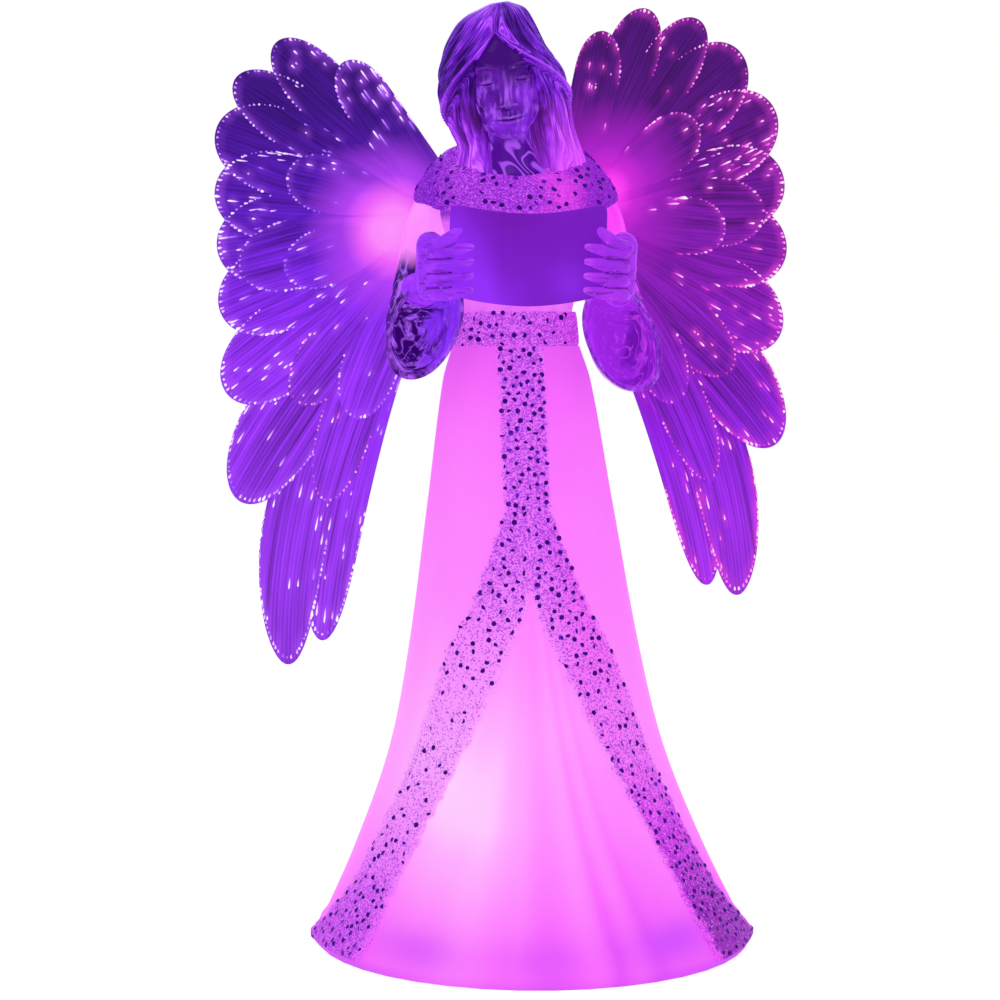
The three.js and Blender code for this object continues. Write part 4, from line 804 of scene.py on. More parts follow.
def colour_property(name, description, *display):
    """A colour that can be changed in the sidebar, given as a display colour, 0 to 255."""
    return bpy.props.FloatVectorProperty(
        name=name, description=description, default=srgb(*display), size=4, min=0.0, max=1.0, subtype="COLOR")


class SkirtSettings(bpy.types.PropertyGroup):
    """Sizes and light of the skirt."""

    deep_colour: colour_property("Deep colour", "Skirt where the least light comes through", 234, 88, 252)
    bright_colour: colour_property("Bright colour", "Skirt where its lamps are nearest", 255, 222, 255)
    skirt_glow: bpy.props.FloatProperty(
        name="Glow", description="How brightly the skirt is lit from inside", default=0.8, min=0.0, max=2.0,
        subtype="FACTOR")
    around: bpy.props.IntProperty(
        name="Points around", description="Points in each ring of the skirt", default=240, min=48)
    levels: bpy.props.IntProperty(
        name="Levels", description="Rings between the hem and the waist", default=110, min=20)


class TrimSettings(bpy.types.PropertyGroup):
    """Glitter bed and foil flakes."""

    flake_colour: colour_property("Flake colour", "Foil flakes in even light", 62, 4, 126)
    flake_size: bpy.props.FloatProperty(
        name="Flake size", description="Width of a foil flake across its corners", default=1.75 * MM,
        unit="LENGTH", subtype="DISTANCE")
    collar_flakes: bpy.props.IntProperty(
        name="Collar flakes", description="Foil flakes on the collar", default=230, min=0)
    belt_flakes: bpy.props.IntProperty(
        name="Belt flakes", description="Foil flakes on the belt", default=64, min=0)
    placket_flakes: bpy.props.IntProperty(
        name="Placket flakes", description="Foil flakes on the front placket", default=84, min=0)
    band_flakes: bpy.props.IntProperty(
        name="Band flakes", description="Foil flakes on a front band that is covered evenly", default=150,
        min=0)
    seed: bpy.props.IntProperty(name="Seed", description="Start of the flakes' scatter", default=4)


class BodySettings(bpy.types.PropertyGroup):
    """Colours of the head, hair and book."""

    skin_colour: colour_property("Face", "Lit parts of the clear face", 130, 38, 216)
    hair_colour: colour_property("Hair", "Clear hair between its lit strands", 118, 30, 212)
    book_colour: colour_property("Book", "Satin of the open book", 126, 30, 204)


class WingSettings(bpy.types.PropertyGroup):
    """Fibres and their lit ends."""

    left_halo: colour_property("Left halo", "Light around the left wing's fibre ends", 182, 88, 255)
    right_halo: colour_property("Right halo", "Light around the right wing's fibre ends", 236, 70, 226)
    fibre_pitch: bpy.props.FloatProperty(
        name="Fibre pitch", description="Distance between fibres across a feather", default=0.95 * MM,
        unit="LENGTH", subtype="DISTANCE")
    spark_pitch: bpy.props.FloatProperty(
        name="Spark pitch", description="Distance between lit fibre ends along a cut edge",
        default=2.0 * MM, unit="LENGTH", subtype="DISTANCE")
    spark_size: bpy.props.FloatProperty(
        name="Spark size", description="Width of a lit fibre end", default=0.8 * MM, unit="LENGTH",
        subtype="DISTANCE")
    seed: bpy.props.IntProperty(name="Seed", description="Start of the sparks' scatter", default=11)


class StageSettings(bpy.types.PropertyGroup):
    """Camera and light."""

    distance: bpy.props.FloatProperty(
        name="Camera distance", description="From the camera to the figure", default=0.95, unit="LENGTH")
    eye_height: bpy.props.FloatProperty(
        name="Camera height", description="Height of the camera over the floor", default=0.205, unit="LENGTH")
    azimuth: bpy.props.FloatProperty(
        name="Camera azimuth", description="Turn of the camera from straight ahead",
        default=math.radians(-4.5), subtype="ANGLE")
    lens: bpy.props.FloatProperty(
        name="Lens", description="Focal length on a 36 mm sensor, in millimetres", default=102.1)


# The base rim's rings: those on the skirt as height, reach and share of its dents, then those under the hem
# as height and reach, and last the height at which the rim closes inside the wall
RIM_TOP = ((7.5, -0.5, 0), (6.0, 0.1, 0.2), (4.5, 0.4, 0.7), (3.4, 0.9, 1))
RIM_FOOT = ((2.4, 1.7), (1.6, 1.9), (0.8, 1.6), (0.3, 0.8), (0.15, -1.0), (0.15, -6), (3.5, -6))
RIM_SEAT = 3.0


class ANGEL_OT_skirt(bpy.types.Operator):
    """Make the lit skirt and the rounded rim of its base."""

    bl_idname = "angel.skirt"
    bl_label = "Skirt"

    def execute(self, context):
        settings = context.scene.angel_skirt
        material = frosted_finish(settings)
        angles = turns(settings.around)
        heights = np.linspace(0, SKIRT_HEIGHT, settings.levels)[:, None]
        outer = skirt_point(angles[None, :], heights)
        inner = skirt_point(angles[None, :], heights, WALL)
        fold = skirt_fold(wrapped(angles[None, :]), heights / SKIRT_HEIGHT).ravel()
        skirt = new_piece("skirt", *tube_shell(outer, inner), {"fold": np.tile(fold, 2)})
        dress(skirt, material, "figure", "frosted", "skirt_shell")

        rings = []
        dent = np.minimum(skirt_fold(wrapped(angles), 0.0), 0)
        for height, out, share in RIM_TOP:
            rings.append(skirt_point(angles, np.full_like(angles, height), dent * share - out))
        for height, out in RIM_FOOT:
            ring = skirt_point(angles, np.zeros_like(angles), dent - out)
            ring[:, 2] = height
            rings.append(ring)
        rings.append(skirt_point(angles, np.full_like(angles, RIM_SEAT), WALL / 2))
        rings = np.array(rings)
        folds = {"fold": np.resize(fold, rings[..., 0].size)}
        rim = new_piece("base_rim", rings.reshape(-1, 3), closed_faces(*rings.shape[:2]), folds)
        dress(rim, material, "figure", "frosted")
        return {"FINISHED"}


def flakes(name, spots, normals, size, seed, material):
    """Thin six-sided foil flakes lying on spots, each a little tilted."""
    rng = np.random.default_rng(seed)
    count = len(spots)
    corners = turns(6)
    tilt = unit(normals + rng.normal(0, 0.28, (count, 3)))
    side = unit(np.cross(tilt, rng.normal(0, 1, (count, 3))))
    other = np.cross(tilt, side)
    radius = size / 2 * rng.uniform(0.8, 1.15, count)
    ring = (side[:, None] * np.cos(corners)[None, :, None] + other[:, None] * np.sin(corners)[None, :, None])
    ring *= radius[:, None, None]
    low = spots[:, None] + ring
    high = low + tilt[:, None] * FLAKE_THICKNESS
    points = np.concatenate([low, high], 1).reshape(-1, 3)
    faces = []
    for k in range(count):
        first = 12 * k
        faces.append(tuple(range(first, first + 6)))
        faces.append(tuple(range(first + 6, first + 12)))
        faces += rim_faces(list(range(first, first + 6)), list(range(first + 6, first + 12)))
    return dress(new_piece(name, points, faces, smooth=False), material, "figure", "glitter")


def grid_normals(grid):
    """Normals of a grid of points, shaped (rows, columns, 3)."""
    along = np.gradient(grid, axis=0)
    across = np.gradient(grid, axis=1)
    normal = np.cross(across, along)
    return normal / np.maximum(np.linalg.norm(normal, axis=2)[..., None], 1e-9)


def scatter(grid, centre, count, seed, weight=1.0, apart=2.4):
    """Random spots on a grid of points, kept apart, with normals that point away from a centre."""
    rng = np.random.default_rng(seed)
    rows, columns = grid.shape[:2]
    normals = grid_normals(grid)
    area = np.linalg.norm(np.cross(np.gradient(grid, axis=0), np.gradient(grid, axis=1)), axis=2)
    area = area * weight
    edge = max(columns // 14, 1)
    area[[0, -1]] = 0
    area[:, :edge] = 0
    area[:, -edge:] = 0
    chosen = []
    for place in rng.choice(rows * columns, 12 * count, p=(area / area.sum()).ravel()):
        spot = grid[place // columns, place % columns]
        if all(np.linalg.norm(spot - grid[k // columns, k % columns]) > apart for k in chosen):
            chosen.append(int(place))
        if len(chosen) == count:
            break
    spots = grid.reshape(-1, 3)[chosen]
    facing = normals.reshape(-1, 3)[chosen]
    away = spots - np.asarray(centre, float) if len(centre) == 3 else spots * (1, 1, 0) - (*centre, 0)
    return spots, facing * np.sign((facing * away).sum(1))[:, None]


def band_edges():
    """A front band's top, and its inner and outer edges as angles from the front at each height."""
    top = SKIRT_HEIGHT - PLACKET_DROP
    fork = SKIRT_HEIGHT - FORK_DROP
    inner = Profile((0, 51), (26.6, 46), (60, 32), (93.6, 12.5), (fork, 0.3), (top, 0.3))
    outer = Profile((0, 84), (13.3, 74), (26.6, 69), (60, 58), (93.6, 45), (fork, 29), (top, 14))
    return top, lambda h: np.maximum(np.radians(inner(h)), 0.005), lambda h: np.radians(outer(h))


FLAKE_THICKNESS = 0.16
# How far the glitter's face and back stand off the skirt
TRIM_FACE = 1.25
PLACKET_BACK = 0.35
BAND_BACK = 0.3
# How thickly the glitter lies on the placket and the collar
PLACKET_COVER = 0.9
COLLAR_COVER = 1.25
# How thickly the glitter and the foil flakes lie on each front band, by height
BAND_COVER = {
    "left": Profile(
        (0, 1.1), (14, 0.95), (28, 0.55), (60, 0.36), (95, 0.36), (112, 0.6), (132, 0.9), (200, 0.95)),
    "right": Profile(
        (0, 2.0), (16, 1.8), (30, 1.3), (55, 0.75), (80, 0.52), (112, 0.65), (132, 0.9), (200, 0.95)),
}
BAND_FLAKES = {
    "left": Profile(
        (0, 1.6), (16, 1.2), (28, 0.5), (60, 0.4), (90, 0.5), (104, 1.4), (120, 2), (136, 1.7), (200, 1)),
    "right": Profile(
        (0, 1.9), (30, 1.7), (60, 1.2), (80, 0.8), (100, 1.3), (120, 2), (136, 1.7), (200, 1)),
}


def trim_grid(heights, first, second, turn, seed, lift):
    """A trim's surface over the skirt, with grains that stand proud and a slightly ragged edge."""
    rng = np.random.default_rng(seed)
    share = np.linspace(0, 1, 40)[None, :]
    ragged = rng.normal(0, math.radians(0.9), (2, len(heights)))
    ragged = (ragged + np.roll(ragged, 1, 1) + np.roll(ragged, 2, 1)) / 3
    start = (first + ragged[0])[:, None]
    angle = start + ((second + ragged[1])[:, None] - start) * share
    grain = rng.uniform(-0.08, 0.08, angle.shape)
    swell = lift + grain if np.ndim(lift) == 0 else lift[:, None] + grain
    return skirt_point(angle + turn[:, None], heights[:, None], -swell)


class ANGEL_OT_trim(bpy.types.Operator):
    """Make the glitter placket, bands, belt and collar with their foil flakes."""

    bl_idname = "angel.trim"
    bl_label = "Glitter trim"

    def execute(self, context):
        settings = context.scene.angel_trim
        size = settings.flake_size / MM
        bed = glitter_finish()
        foil = flake_finish(settings)
        foot = SKIRT_HEIGHT - PLACKET_DROP
        heights = np.linspace(foot, SKIRT_HEIGHT - 0.4, 120)
        edge = np.arcsin(PLACKET_WIDTH / 2 / skirt_half(heights))
        still = np.zeros_like(heights)
        front = trim_grid(heights, -edge, edge, still, 1, TRIM_FACE)
        back = trim_grid(heights, -edge, edge, still, 1, PLACKET_BACK)
        cover = self.cover(front, np.full(len(heights), PLACKET_COVER), np.zeros(len(heights), bool))
        placket = new_piece("placket", *plate_shell(front, back), cover)
        dress(placket, bed, "figure", "glitter", "front_placket")
        spots, normals = scatter(front, (0, 0), settings.placket_flakes, settings.seed)
        flakes("placket_flakes", spots, normals, size, settings.seed, foil)
        for name, side in (("left", -1), ("right", 1)):
            top, inner, outer = band_edges()
            heights = np.linspace(-1.5, top, 220)
            turn = math.radians(BAND_TURN) * (1 - heights / top)
            shape = (side * inner(heights), side * outer(heights), turn, 3 + side)
            swell = HEM_SWELL * np.maximum(1 - np.maximum(heights, 0) / HEM_SWELL_HEIGHT, 0)
            front = trim_grid(heights, *shape, TRIM_FACE + swell)
            back = trim_grid(heights, *shape, BAND_BACK)
            thick = BAND_COVER[name](np.maximum(heights, 0))
            cover = self.cover(front, thick, heights > SKIRT_HEIGHT - FORK_DROP)
            band = new_piece(f"{name}_band", *plate_shell(front, back), cover)
            dress(band, bed, "figure", "glitter", f"{name}_front_band")
            crowd = BAND_FLAKES[name](np.maximum(heights, 0))
            count = int(settings.band_flakes * crowd.mean())
            spots, normals = scatter(front, (0, 0), count, settings.seed + 5 + side, crowd[:, None])
            flakes(f"{name}_band_flakes", spots, normals, size, settings.seed + side, foil)
        self.belt(settings, size, bed, foil)
        self.collar(settings, size, bed, foil)
        return {"FINISHED"}

    def cover(self, front, thick, joined):
        """How thickly the glitter lies: less towards the trim's edges, but not where the bands join."""
        share = np.linspace(0, 1, front.shape[1])[None, :]
        inner = np.where(joined[:, None], 1.0, share)
        fade = np.clip(np.minimum(inner, 1 - share) * 9 + 0.2, 0, 1)
        return {"cover": np.tile((thick[:, None] * fade).ravel(), 2)}

    def belt(self, settings, size, bed, foil):
        """The belt around the waist, rounded towards its edges."""
        rng = np.random.default_rng(21)
        angles = turns(200)
        heights = np.linspace(-0.7, BELT_HEIGHT, 26)
        soft = 1.0 - 0.55 * np.abs(np.linspace(-1, 1, len(heights))) ** 4
        rings = []
        for height, out in zip(heights, soft):
            swell = 0.4 + BELT_THICKNESS * out + rng.uniform(-0.12, 0.12, len(angles))
            rings.append(torso_ring(angles, np.full_like(angles, height), swell))
        outer = to_body(np.array(rings))
        inner = to_body(np.array([torso_ring(angles, np.full_like(angles, h), 0.35) for h in heights]))
        cover = {"cover": np.tile(np.broadcast_to(0.55 + 0.4 * soft[:, None], outer.shape[:2]).ravel(), 2)}
        dress(new_piece("belt_band", *tube_shell(outer, inner), cover), bed, "figure", "glitter", "belt")
        spots, normals = scatter(outer, (WAIST_LEAN, 0, WAIST_Z + 6), settings.belt_flakes, 8)
        flakes("belt_flakes", spots, normals, size, 8, foil)

    def collar(self, settings, size, bed, foil):
        """The draped cowl collar, kept clear of the neck."""
        rng = np.random.default_rng(33)
        angle, turn = np.meshgrid(turns(220), turns(44), indexing="ij")
        drape = ripple(7 * angle + 2 * turn, 4 * angle - turn + 1, 11 * angle + 3)
        swell = 0.5 * drape + rng.uniform(-0.13, 0.13, angle.shape)
        out = (COLLAR_ROLL + swell) * np.cos(turn)
        lift = (COLLAR_ROLL_HEIGHT + swell) * np.sin(turn) - COLLAR_SLOPE * out
        across = COLLAR_HALF_WIDTH - COLLAR_ROLL
        deep = COLLAR_HALF_DEPTH - COLLAR_ROLL
        height = COLLAR_SIDE_HEIGHT + COLLAR_DIP * np.sin(angle) + lift
        x = (across + out) * np.cos(angle)
        y = (deep + out) * np.sin(angle)
        neck = np.hypot(x - HEAD_SHIFT, y - HEAD_FORWARD)
        room = np.maximum(neck, NECK_DIAMETER / 2 + 0.8) / np.maximum(neck, 1e-6)
        x = HEAD_SHIFT + (x - HEAD_SHIFT) * room
        y = HEAD_FORWARD + (y - HEAD_FORWARD) * room
        grid = to_body(np.stack([x, y, height], -1))
        cover = {"cover": np.full(grid[..., 0].size, COLLAR_COVER)}
        cowl = new_piece("cowl", grid.reshape(-1, 3), closed_faces(*grid.shape[:2]), cover)
        dress(cowl, bed, "figure", "glitter", "collar")
        spots, normals = scatter(grid, (WAIST_LEAN, 0, WAIST_Z + 40), settings.collar_flakes, 12)
        flakes("collar_flakes", spots, normals, size * 1.1, 12, foil)


torso_half_width = Profile(
    (0, BELT_INNER), (BELT_HEIGHT, BELT_INNER - 0.6), (BUST_HEIGHT, 23.5),
    (SHOULDER_HEIGHT, SHOULDER_HALF_WIDTH), (TORSO_HEIGHT, 12.5),
)
torso_half_depth = Profile(
    (0, BELT_INNER * WAIST_DEPTH_RATIO), (BELT_HEIGHT, (BELT_INNER - 0.6) * WAIST_DEPTH_RATIO),
    (BUST_HEIGHT, 18), (SHOULDER_HEIGHT, 16), (TORSO_HEIGHT, 12.5),
)


def torso_ring(angle, height, swell):
    """Points around the upper body at a height, swollen outwards."""
    half = torso_half_width(height) + swell
    deep = torso_half_depth(height) + swell
    return np.stack([half * np.cos(angle), deep * np.sin(angle), height], -1)


# Sleeve rings: middle, facing, half width, half height and how far the ring follows its cuff
SLEEVE_RINGS = [
    ((SHOULDER_HALF_WIDTH - 3, 1, SHOULDER_HEIGHT - 1), (0.8, 0, -0.6), SLEEVE_TOP_HALF_WIDTH, 9.7, 0),
    ((UPPER_ARM_OUT, 0, SHOULDER_HEIGHT - 10), (0.3, 0, -0.95), SLEEVE_TOP_HALF_WIDTH, 10.2, 0),
    (((UPPER_ARM_OUT + ELBOW_OUT) / 2, -1, BUST_HEIGHT - 6), (0.1, -0.15, -0.98), SLEEVE_TOP_HALF_WIDTH + 0.8,
     11.7, 0),
    ((ELBOW_OUT, -4, BUST_HEIGHT - 20), (0, -0.5, -0.87), CUFF_HALF_WIDTH - 1.8, CUFF_HALF_HEIGHT - 3, 0.5),
    (((ELBOW_OUT + CUFF_OUT) / 2, CUFF_REACH / 2 - 1, BUST_HEIGHT - 25.5), (-0.2, -0.85, -0.4),
     CUFF_HALF_WIDTH - 0.8, CUFF_HALF_HEIGHT - 1, 1),
    ((CUFF_OUT, CUFF_REACH, BUST_HEIGHT - 25), (-0.25, -0.97, 0), CUFF_HALF_WIDTH, CUFF_HALF_HEIGHT, 1),
]


def spline(points, shares):
    """A smooth curve through points, at shares of its way."""
    points = np.array(points, float)
    places = np.linspace(0, 1, len(points))
    return np.stack([Profile(*zip(places, points[:, k]))(shares) for k in range(points.shape[1])], -1)


def sleeve_rings(side, shares, shrink, facets, folds):
    """Rings of the sleeve at shares of its length, drawn in by the shrink and creased by the folds."""
    drop, out = CUFF_HANG[side]
    centre = spline([ring[0] for ring in SLEEVE_RINGS], shares)
    centre += spline([(ring[4] * out, 0, -ring[4] * drop) for ring in SLEEVE_RINGS], shares)
    face = unit(spline([ring[1] for ring in SLEEVE_RINGS], shares))
    width = spline([[ring[2]] for ring in SLEEVE_RINGS], shares)[:, 0] - shrink
    height = spline([[ring[3]] for ring in SLEEVE_RINGS], shares)[:, 0] - shrink
    side = unit(np.array([1.0, 0, 0]) - face * face[:, :1])
    up = np.cross(face, side)
    angle = turns(facets)
    wave = ripple(
        3 * angle[None, :] + 9 * shares[:, None], 5 * angle[None, :] - 14 * shares[:, None] + 1.3,
        2 * angle[None, :] + 21 * shares[:, None],
    )
    swell = 1 + folds * wave * bell(shares[:, None] - 0.55, 0.35)
    rise = height[:, None] * np.sin(angle)[None, :] * swell
    across = width[:, None] * np.cos(angle)[None, :] * swell - CUFF_LEAN * shares[:, None] ** 2 * rise
    return centre[:, None] + side[:, None] * across[..., None] + up[:, None] * rise[..., None]


def mirrored(points, side):
    """Points of the right side, turned over for the left."""
    return np.asarray(points) * np.array([side, 1, 1])


def limb_rings(path, diameters, count, facets):
    """Rings round a smooth path, drawn in to domes at both ends."""
    shares = np.linspace(0, 1, count)
    centre = spline(path, shares)
    radius = spline([[d / 2] for d in diameters], shares)[:, 0]
    heading = unit(np.gradient(centre, axis=0))
    guide = np.array([0.3, 0.2, 1.0]) if abs(heading[0][2]) < 0.8 else np.array([1.0, 0.2, 0.1])
    side = unit(np.cross(heading, guide))
    other = np.cross(heading, side)
    angle = turns(facets)[None, :, None]
    circle = side[:, None] * np.cos(angle) + other[:, None] * np.sin(angle)
    rings = [centre[i] + circle[i] * radius[i] for i in range(count)]
    dome = [(0.92, 0.38), (0.7, 0.71), (0.38, 0.92), (0.08, 0.995)]
    head = [centre[0] + circle[0] * radius[0] * s - heading[0] * radius[0] * a for s, a in dome]
    tail = [centre[-1] + circle[-1] * radius[-1] * s + heading[-1] * radius[-1] * a for s, a in dome]
    return np.array(head[::-1] + rings + tail)


def book_bow(x):
    """How far the open book bows towards the reader, across its width."""
    return BOOK_BOW * ((np.abs(x) / BOOK_HALF_WIDTH) ** 1.4 - 1)


def hand_limbs():
    """Palm, fingers, thumb and forearm of the right hand, in the book's frame."""
    palm_x = BOOK_HALF_WIDTH + PALM_THICKNESS / 2 + PALM_GAP
    foot = PALM_TOP - (FINGER_COUNT - 1) * FINGER_PITCH

    def on_cover(x, diameter):
        return float(book_bow(x)) - (COVER_THICKNESS + diameter) / 2 - GRIP_GAP

    tip = BOOK_HALF_WIDTH - FINGER_REACH
    limbs = []
    for index in range(FINGER_COUNT):
        z = PALM_TOP - index * FINGER_PITCH
        path = [
            (palm_x, PALM_SETBACK / 3, z - FINGER_LIFT / 2),
            (palm_x - PALM_GAP, on_cover(palm_x, FINGER_DIAMETER), z - FINGER_LIFT / 4),
            (BOOK_HALF_WIDTH, on_cover(BOOK_HALF_WIDTH, FINGER_DIAMETER) - PALM_GAP / 3, z),
            (tip, on_cover(tip, FINGER_DIAMETER), z + FINGER_LIFT / 2),
        ]
        shape = [FINGER_DIAMETER * s for s in (1.2, 1.1, 0.93, 0.98, 0.82, 0.5)]
        limbs.append(limb_rings(path, shape, 14, 16))
    root = BOOK_HALF_WIDTH + THUMB_DIAMETER / 2
    end = BOOK_HALF_WIDTH - THUMB_DIAMETER / 2
    thumb = [
        (palm_x, 0, PALM_TOP),
        (root, on_cover(root, THUMB_DIAMETER), PALM_TOP + THUMB_RISE / 3),
        (end, on_cover(end, THUMB_DIAMETER), PALM_TOP + THUMB_RISE),
    ]
    limbs.append(limb_rings(thumb, [THUMB_DIAMETER * s for s in (1.2, 1.0, 0.95, 0.62)], 14, 16))
    palm = [(palm_x, PALM_SETBACK, PALM_TOP), (palm_x, PALM_SETBACK, foot)]
    limbs.append(limb_rings(palm, [PALM_THICKNESS, PALM_THICKNESS * 0.92], 8, 20))
    arm = [(palm_x + out, PALM_SETBACK + back, foot + up) for out, back, up in FOREARM_BENDS]
    limbs.append(limb_rings(arm, [WRIST_DIAMETER] * 2 + [FOREARM_DIAMETER] * 2, 16, 20))
    return limbs


def merged(forms):
    """Points and faces of several closed forms as one mesh."""
    points, faces, start = [], [], 0
    for form_points, form_faces in forms:
        points.append(form_points)
        faces += [tuple(start + i for i in face) for face in form_faces]
        start += len(form_points)
    return np.concatenate(points), faces


def fused(piece, voxel, rounds):
    """Melts a piece's overlapping forms into one skin and smooths it."""
    remesh = piece.modifiers.new("fuse", "REMESH")
    remesh.mode = "VOXEL"
    remesh.voxel_size = voxel * MM
    smooth = piece.modifiers.new("soften", "SMOOTH")
    smooth.iterations = rounds
    smooth.factor = 0.5
    depsgraph = bpy.context.evaluated_depsgraph_get()
    piece.data = bpy.data.meshes.new_from_object(piece.evaluated_get(depsgraph))
    piece.modifiers.clear()
    piece.data.polygons.foreach_set("use_smooth", [True] * len(piece.data.polygons))
    return piece


class ANGEL_OT_upper_body(bpy.types.Operator):
    """Make the torso, sleeves, hands and book."""

    bl_idname = "angel.upper_body"
    bl_label = "Upper body"

    def execute(self, context):
        self.torso()
        self.book(context.scene.angel_body.book_colour)
        hands = {
            "left": clear_finish(
                "left_clear_hand", srgb(140, 42, 234), srgb(166, 56, 255), srgb(198, 100, 255), 0.9, 4),
            "right": clear_finish(
                "right_clear_hand", srgb(152, 42, 226), srgb(186, 56, 246), srgb(220, 100, 252), 0.9, 4),
        }
        looks = {
            "left": sleeve_finish(
                "left_clear_sleeve", -1, srgb(248, 122, 252), srgb(255, 158, 255), srgb(52, 4, 108),
                srgb(176, 92, 250), srgb(132, 46, 242), 31),
            "right": sleeve_finish(
                "right_clear_sleeve", 1, srgb(248, 62, 248), srgb(255, 104, 252), srgb(116, 20, 180),
                srgb(214, 72, 248), srgb(158, 38, 226), 42),
        }
        for name, wing in WINGS.items():
            self.sleeve(name, wing.side, looks[name])
            points, faces = merged([capped(rings) for rings in hand_limbs()])
            points = to_body(mirrored(placed(points, BOOK_PLACE), wing.side))
            piece = fused(new_piece(f"{name}_clear_hand", points, faces), 0.32, 3)
            dress(piece, hands[name], "figure", "clear_violet", f"{name}_hand")
        return {"FINISHED"}

    def torso(self):
        """The front and back halves of the bodice."""
        lit = clear_finish(
            "lit_bodice", srgb(228, 104, 250), srgb(246, 124, 253), srgb(255, 160, 255), 0.88, 0.6)
        foot, top = 0.4, TORSO_HEIGHT - 3
        heights = np.linspace(foot, top, 60)[:, None]
        inside = np.linspace(foot, top - 2 * WALL, 60)[:, None]
        for name, start in (("front", math.pi), ("back", 0.0)):
            angles = np.linspace(start + 0.012, start + math.pi - 0.012, 72)[None, :]
            fold = 0.35 * ripple(9 * angles + heights * 0.1, 14 * angles - heights * 0.15)
            outer = to_body(torso_ring(*np.broadcast_arrays(angles, heights), fold))
            inner = to_body(torso_ring(*np.broadcast_arrays(angles, inside), -WALL))
            piece = new_piece(f"bodice_{name}", *plate_shell(outer, inner))
            dress(piece, lit, "figure", "clear_violet", f"torso_{name}")

    def sleeve(self, name, side, material):
        """One bell sleeve with its lip and its lining."""
        facets = 72
        shares = np.linspace(0, 1, 70)
        inside = np.linspace(1, 0.56, 34)
        outer = sleeve_rings(side, shares, 0, facets, 0.05)
        lip = sleeve_rings(side, np.array([1.0]), 0.5, facets, 0.05) + np.array([0, -0.5, 0])
        inner = sleeve_rings(side, inside, SLEEVE_WALL, facets, 0.05)
        rings = np.concatenate([outer, lip, inner])
        points, faces = capped(rings)
        along = np.concatenate([shares, [1.0], inside])
        lining = np.concatenate([np.zeros(len(shares) + 1), np.ones(len(inside))])
        values = {"along": np.repeat(along, facets), "inside": np.repeat(lining, facets)}
        piece = new_piece(f"{name}_bell_sleeve", to_body(mirrored(points, side)), faces, values)
        dress(piece, material, "figure", "clear_violet", f"{name}_sleeve")

    def book(self, satin):
        """The boards and the leaves, bowed across their width."""
        cover = book_finish("book_cover_satin", satin, 0.85)
        paper = book_finish("book_page_satin", satin, 0.95)
        across = np.linspace(-1, 1, 61)[None, :]
        up = np.linspace(-1, 1, 41)[:, None]
        sheets = (
            ("book_boards", "book_cover", cover, 0.0, -COVER_THICKNESS / 2, COVER_THICKNESS),
            ("book_leaves", "book_pages", paper, PAGE_MARGIN, COVER_THICKNESS / 2 + 0.35, PAGE_THICKNESS),
        )
        for name, node, material, margin, front, thickness in sheets:
            half = BOOK_HALF_WIDTH - margin
            tall = BOOK_HEIGHT / 2 - margin
            corner = (np.abs(across) ** 16 + np.abs(up) ** 14) ** (1 / 16)
            shrink = 1 / np.maximum(np.maximum(corner, np.maximum(np.abs(across), np.abs(up))), 1e-6)
            reach = np.maximum(np.abs(across), np.abs(up))
            pull = 1 - (1 - np.minimum(shrink * reach, 1)) * reach ** 6
            x = across * half * pull
            z = up * tall * pull
            soft = 0.35 * thickness * np.maximum(np.abs(across), np.abs(up)) ** 14
            bow = book_bow(x)
            z = z + BOOK_SAG * ((x / BOOK_HALF_WIDTH) ** 2 - 1)
            near = np.stack([x, bow + front + soft, z], -1)
            far = np.stack([x, bow + front + thickness - soft, z], -1)
            points, faces = plate_shell(near, far)
            piece = new_piece(name, to_body(placed(points, BOOK_PLACE)), faces)
            dress(piece, material, "figure", "book_frost", node)


head_width = Profile((0, 0.27), (0.08, 0.55), (0.2, 0.77), (0.36, 0.92), (0.55, 1), (0.75, 0.95),
                     (0.9, 0.71), (1, 0.17))
head_front = Profile((0, 0.75), (0.08, 0.92), (0.2, 0.95), (0.36, 0.98), (0.55, 1), (0.75, 0.93),
                     (0.9, 0.65), (1, 0.2))
head_back = Profile((0, 0.1), (0.08, 0.2), (0.2, 0.45), (0.36, 0.75), (0.55, 1), (0.75, 1),
                    (0.9, 0.72), (1, 0.2))
hair_width = Profile((0, 1.03), (0.2, 0.95), (0.38, 0.98), (0.56, 0.92), (0.73, 0.76), (0.87, 0.6),
                     (0.95, 0.43), (1, 0.14))
hair_front = Profile((0, 0.65), (0.38, 0.88), (0.56, 1), (0.75, 0.95), (0.9, 0.62), (1, 0.1))
hair_back = Profile((0, 0.72), (0.38, 0.93), (0.56, 1), (0.75, 0.92), (0.9, 0.62), (1, 0.1))
hair_lean = Profile((0, 0.6), (0.2, 0.5), (0.5, 0), (0.75, -0.45), (0.9, 0), (1, 0.9))


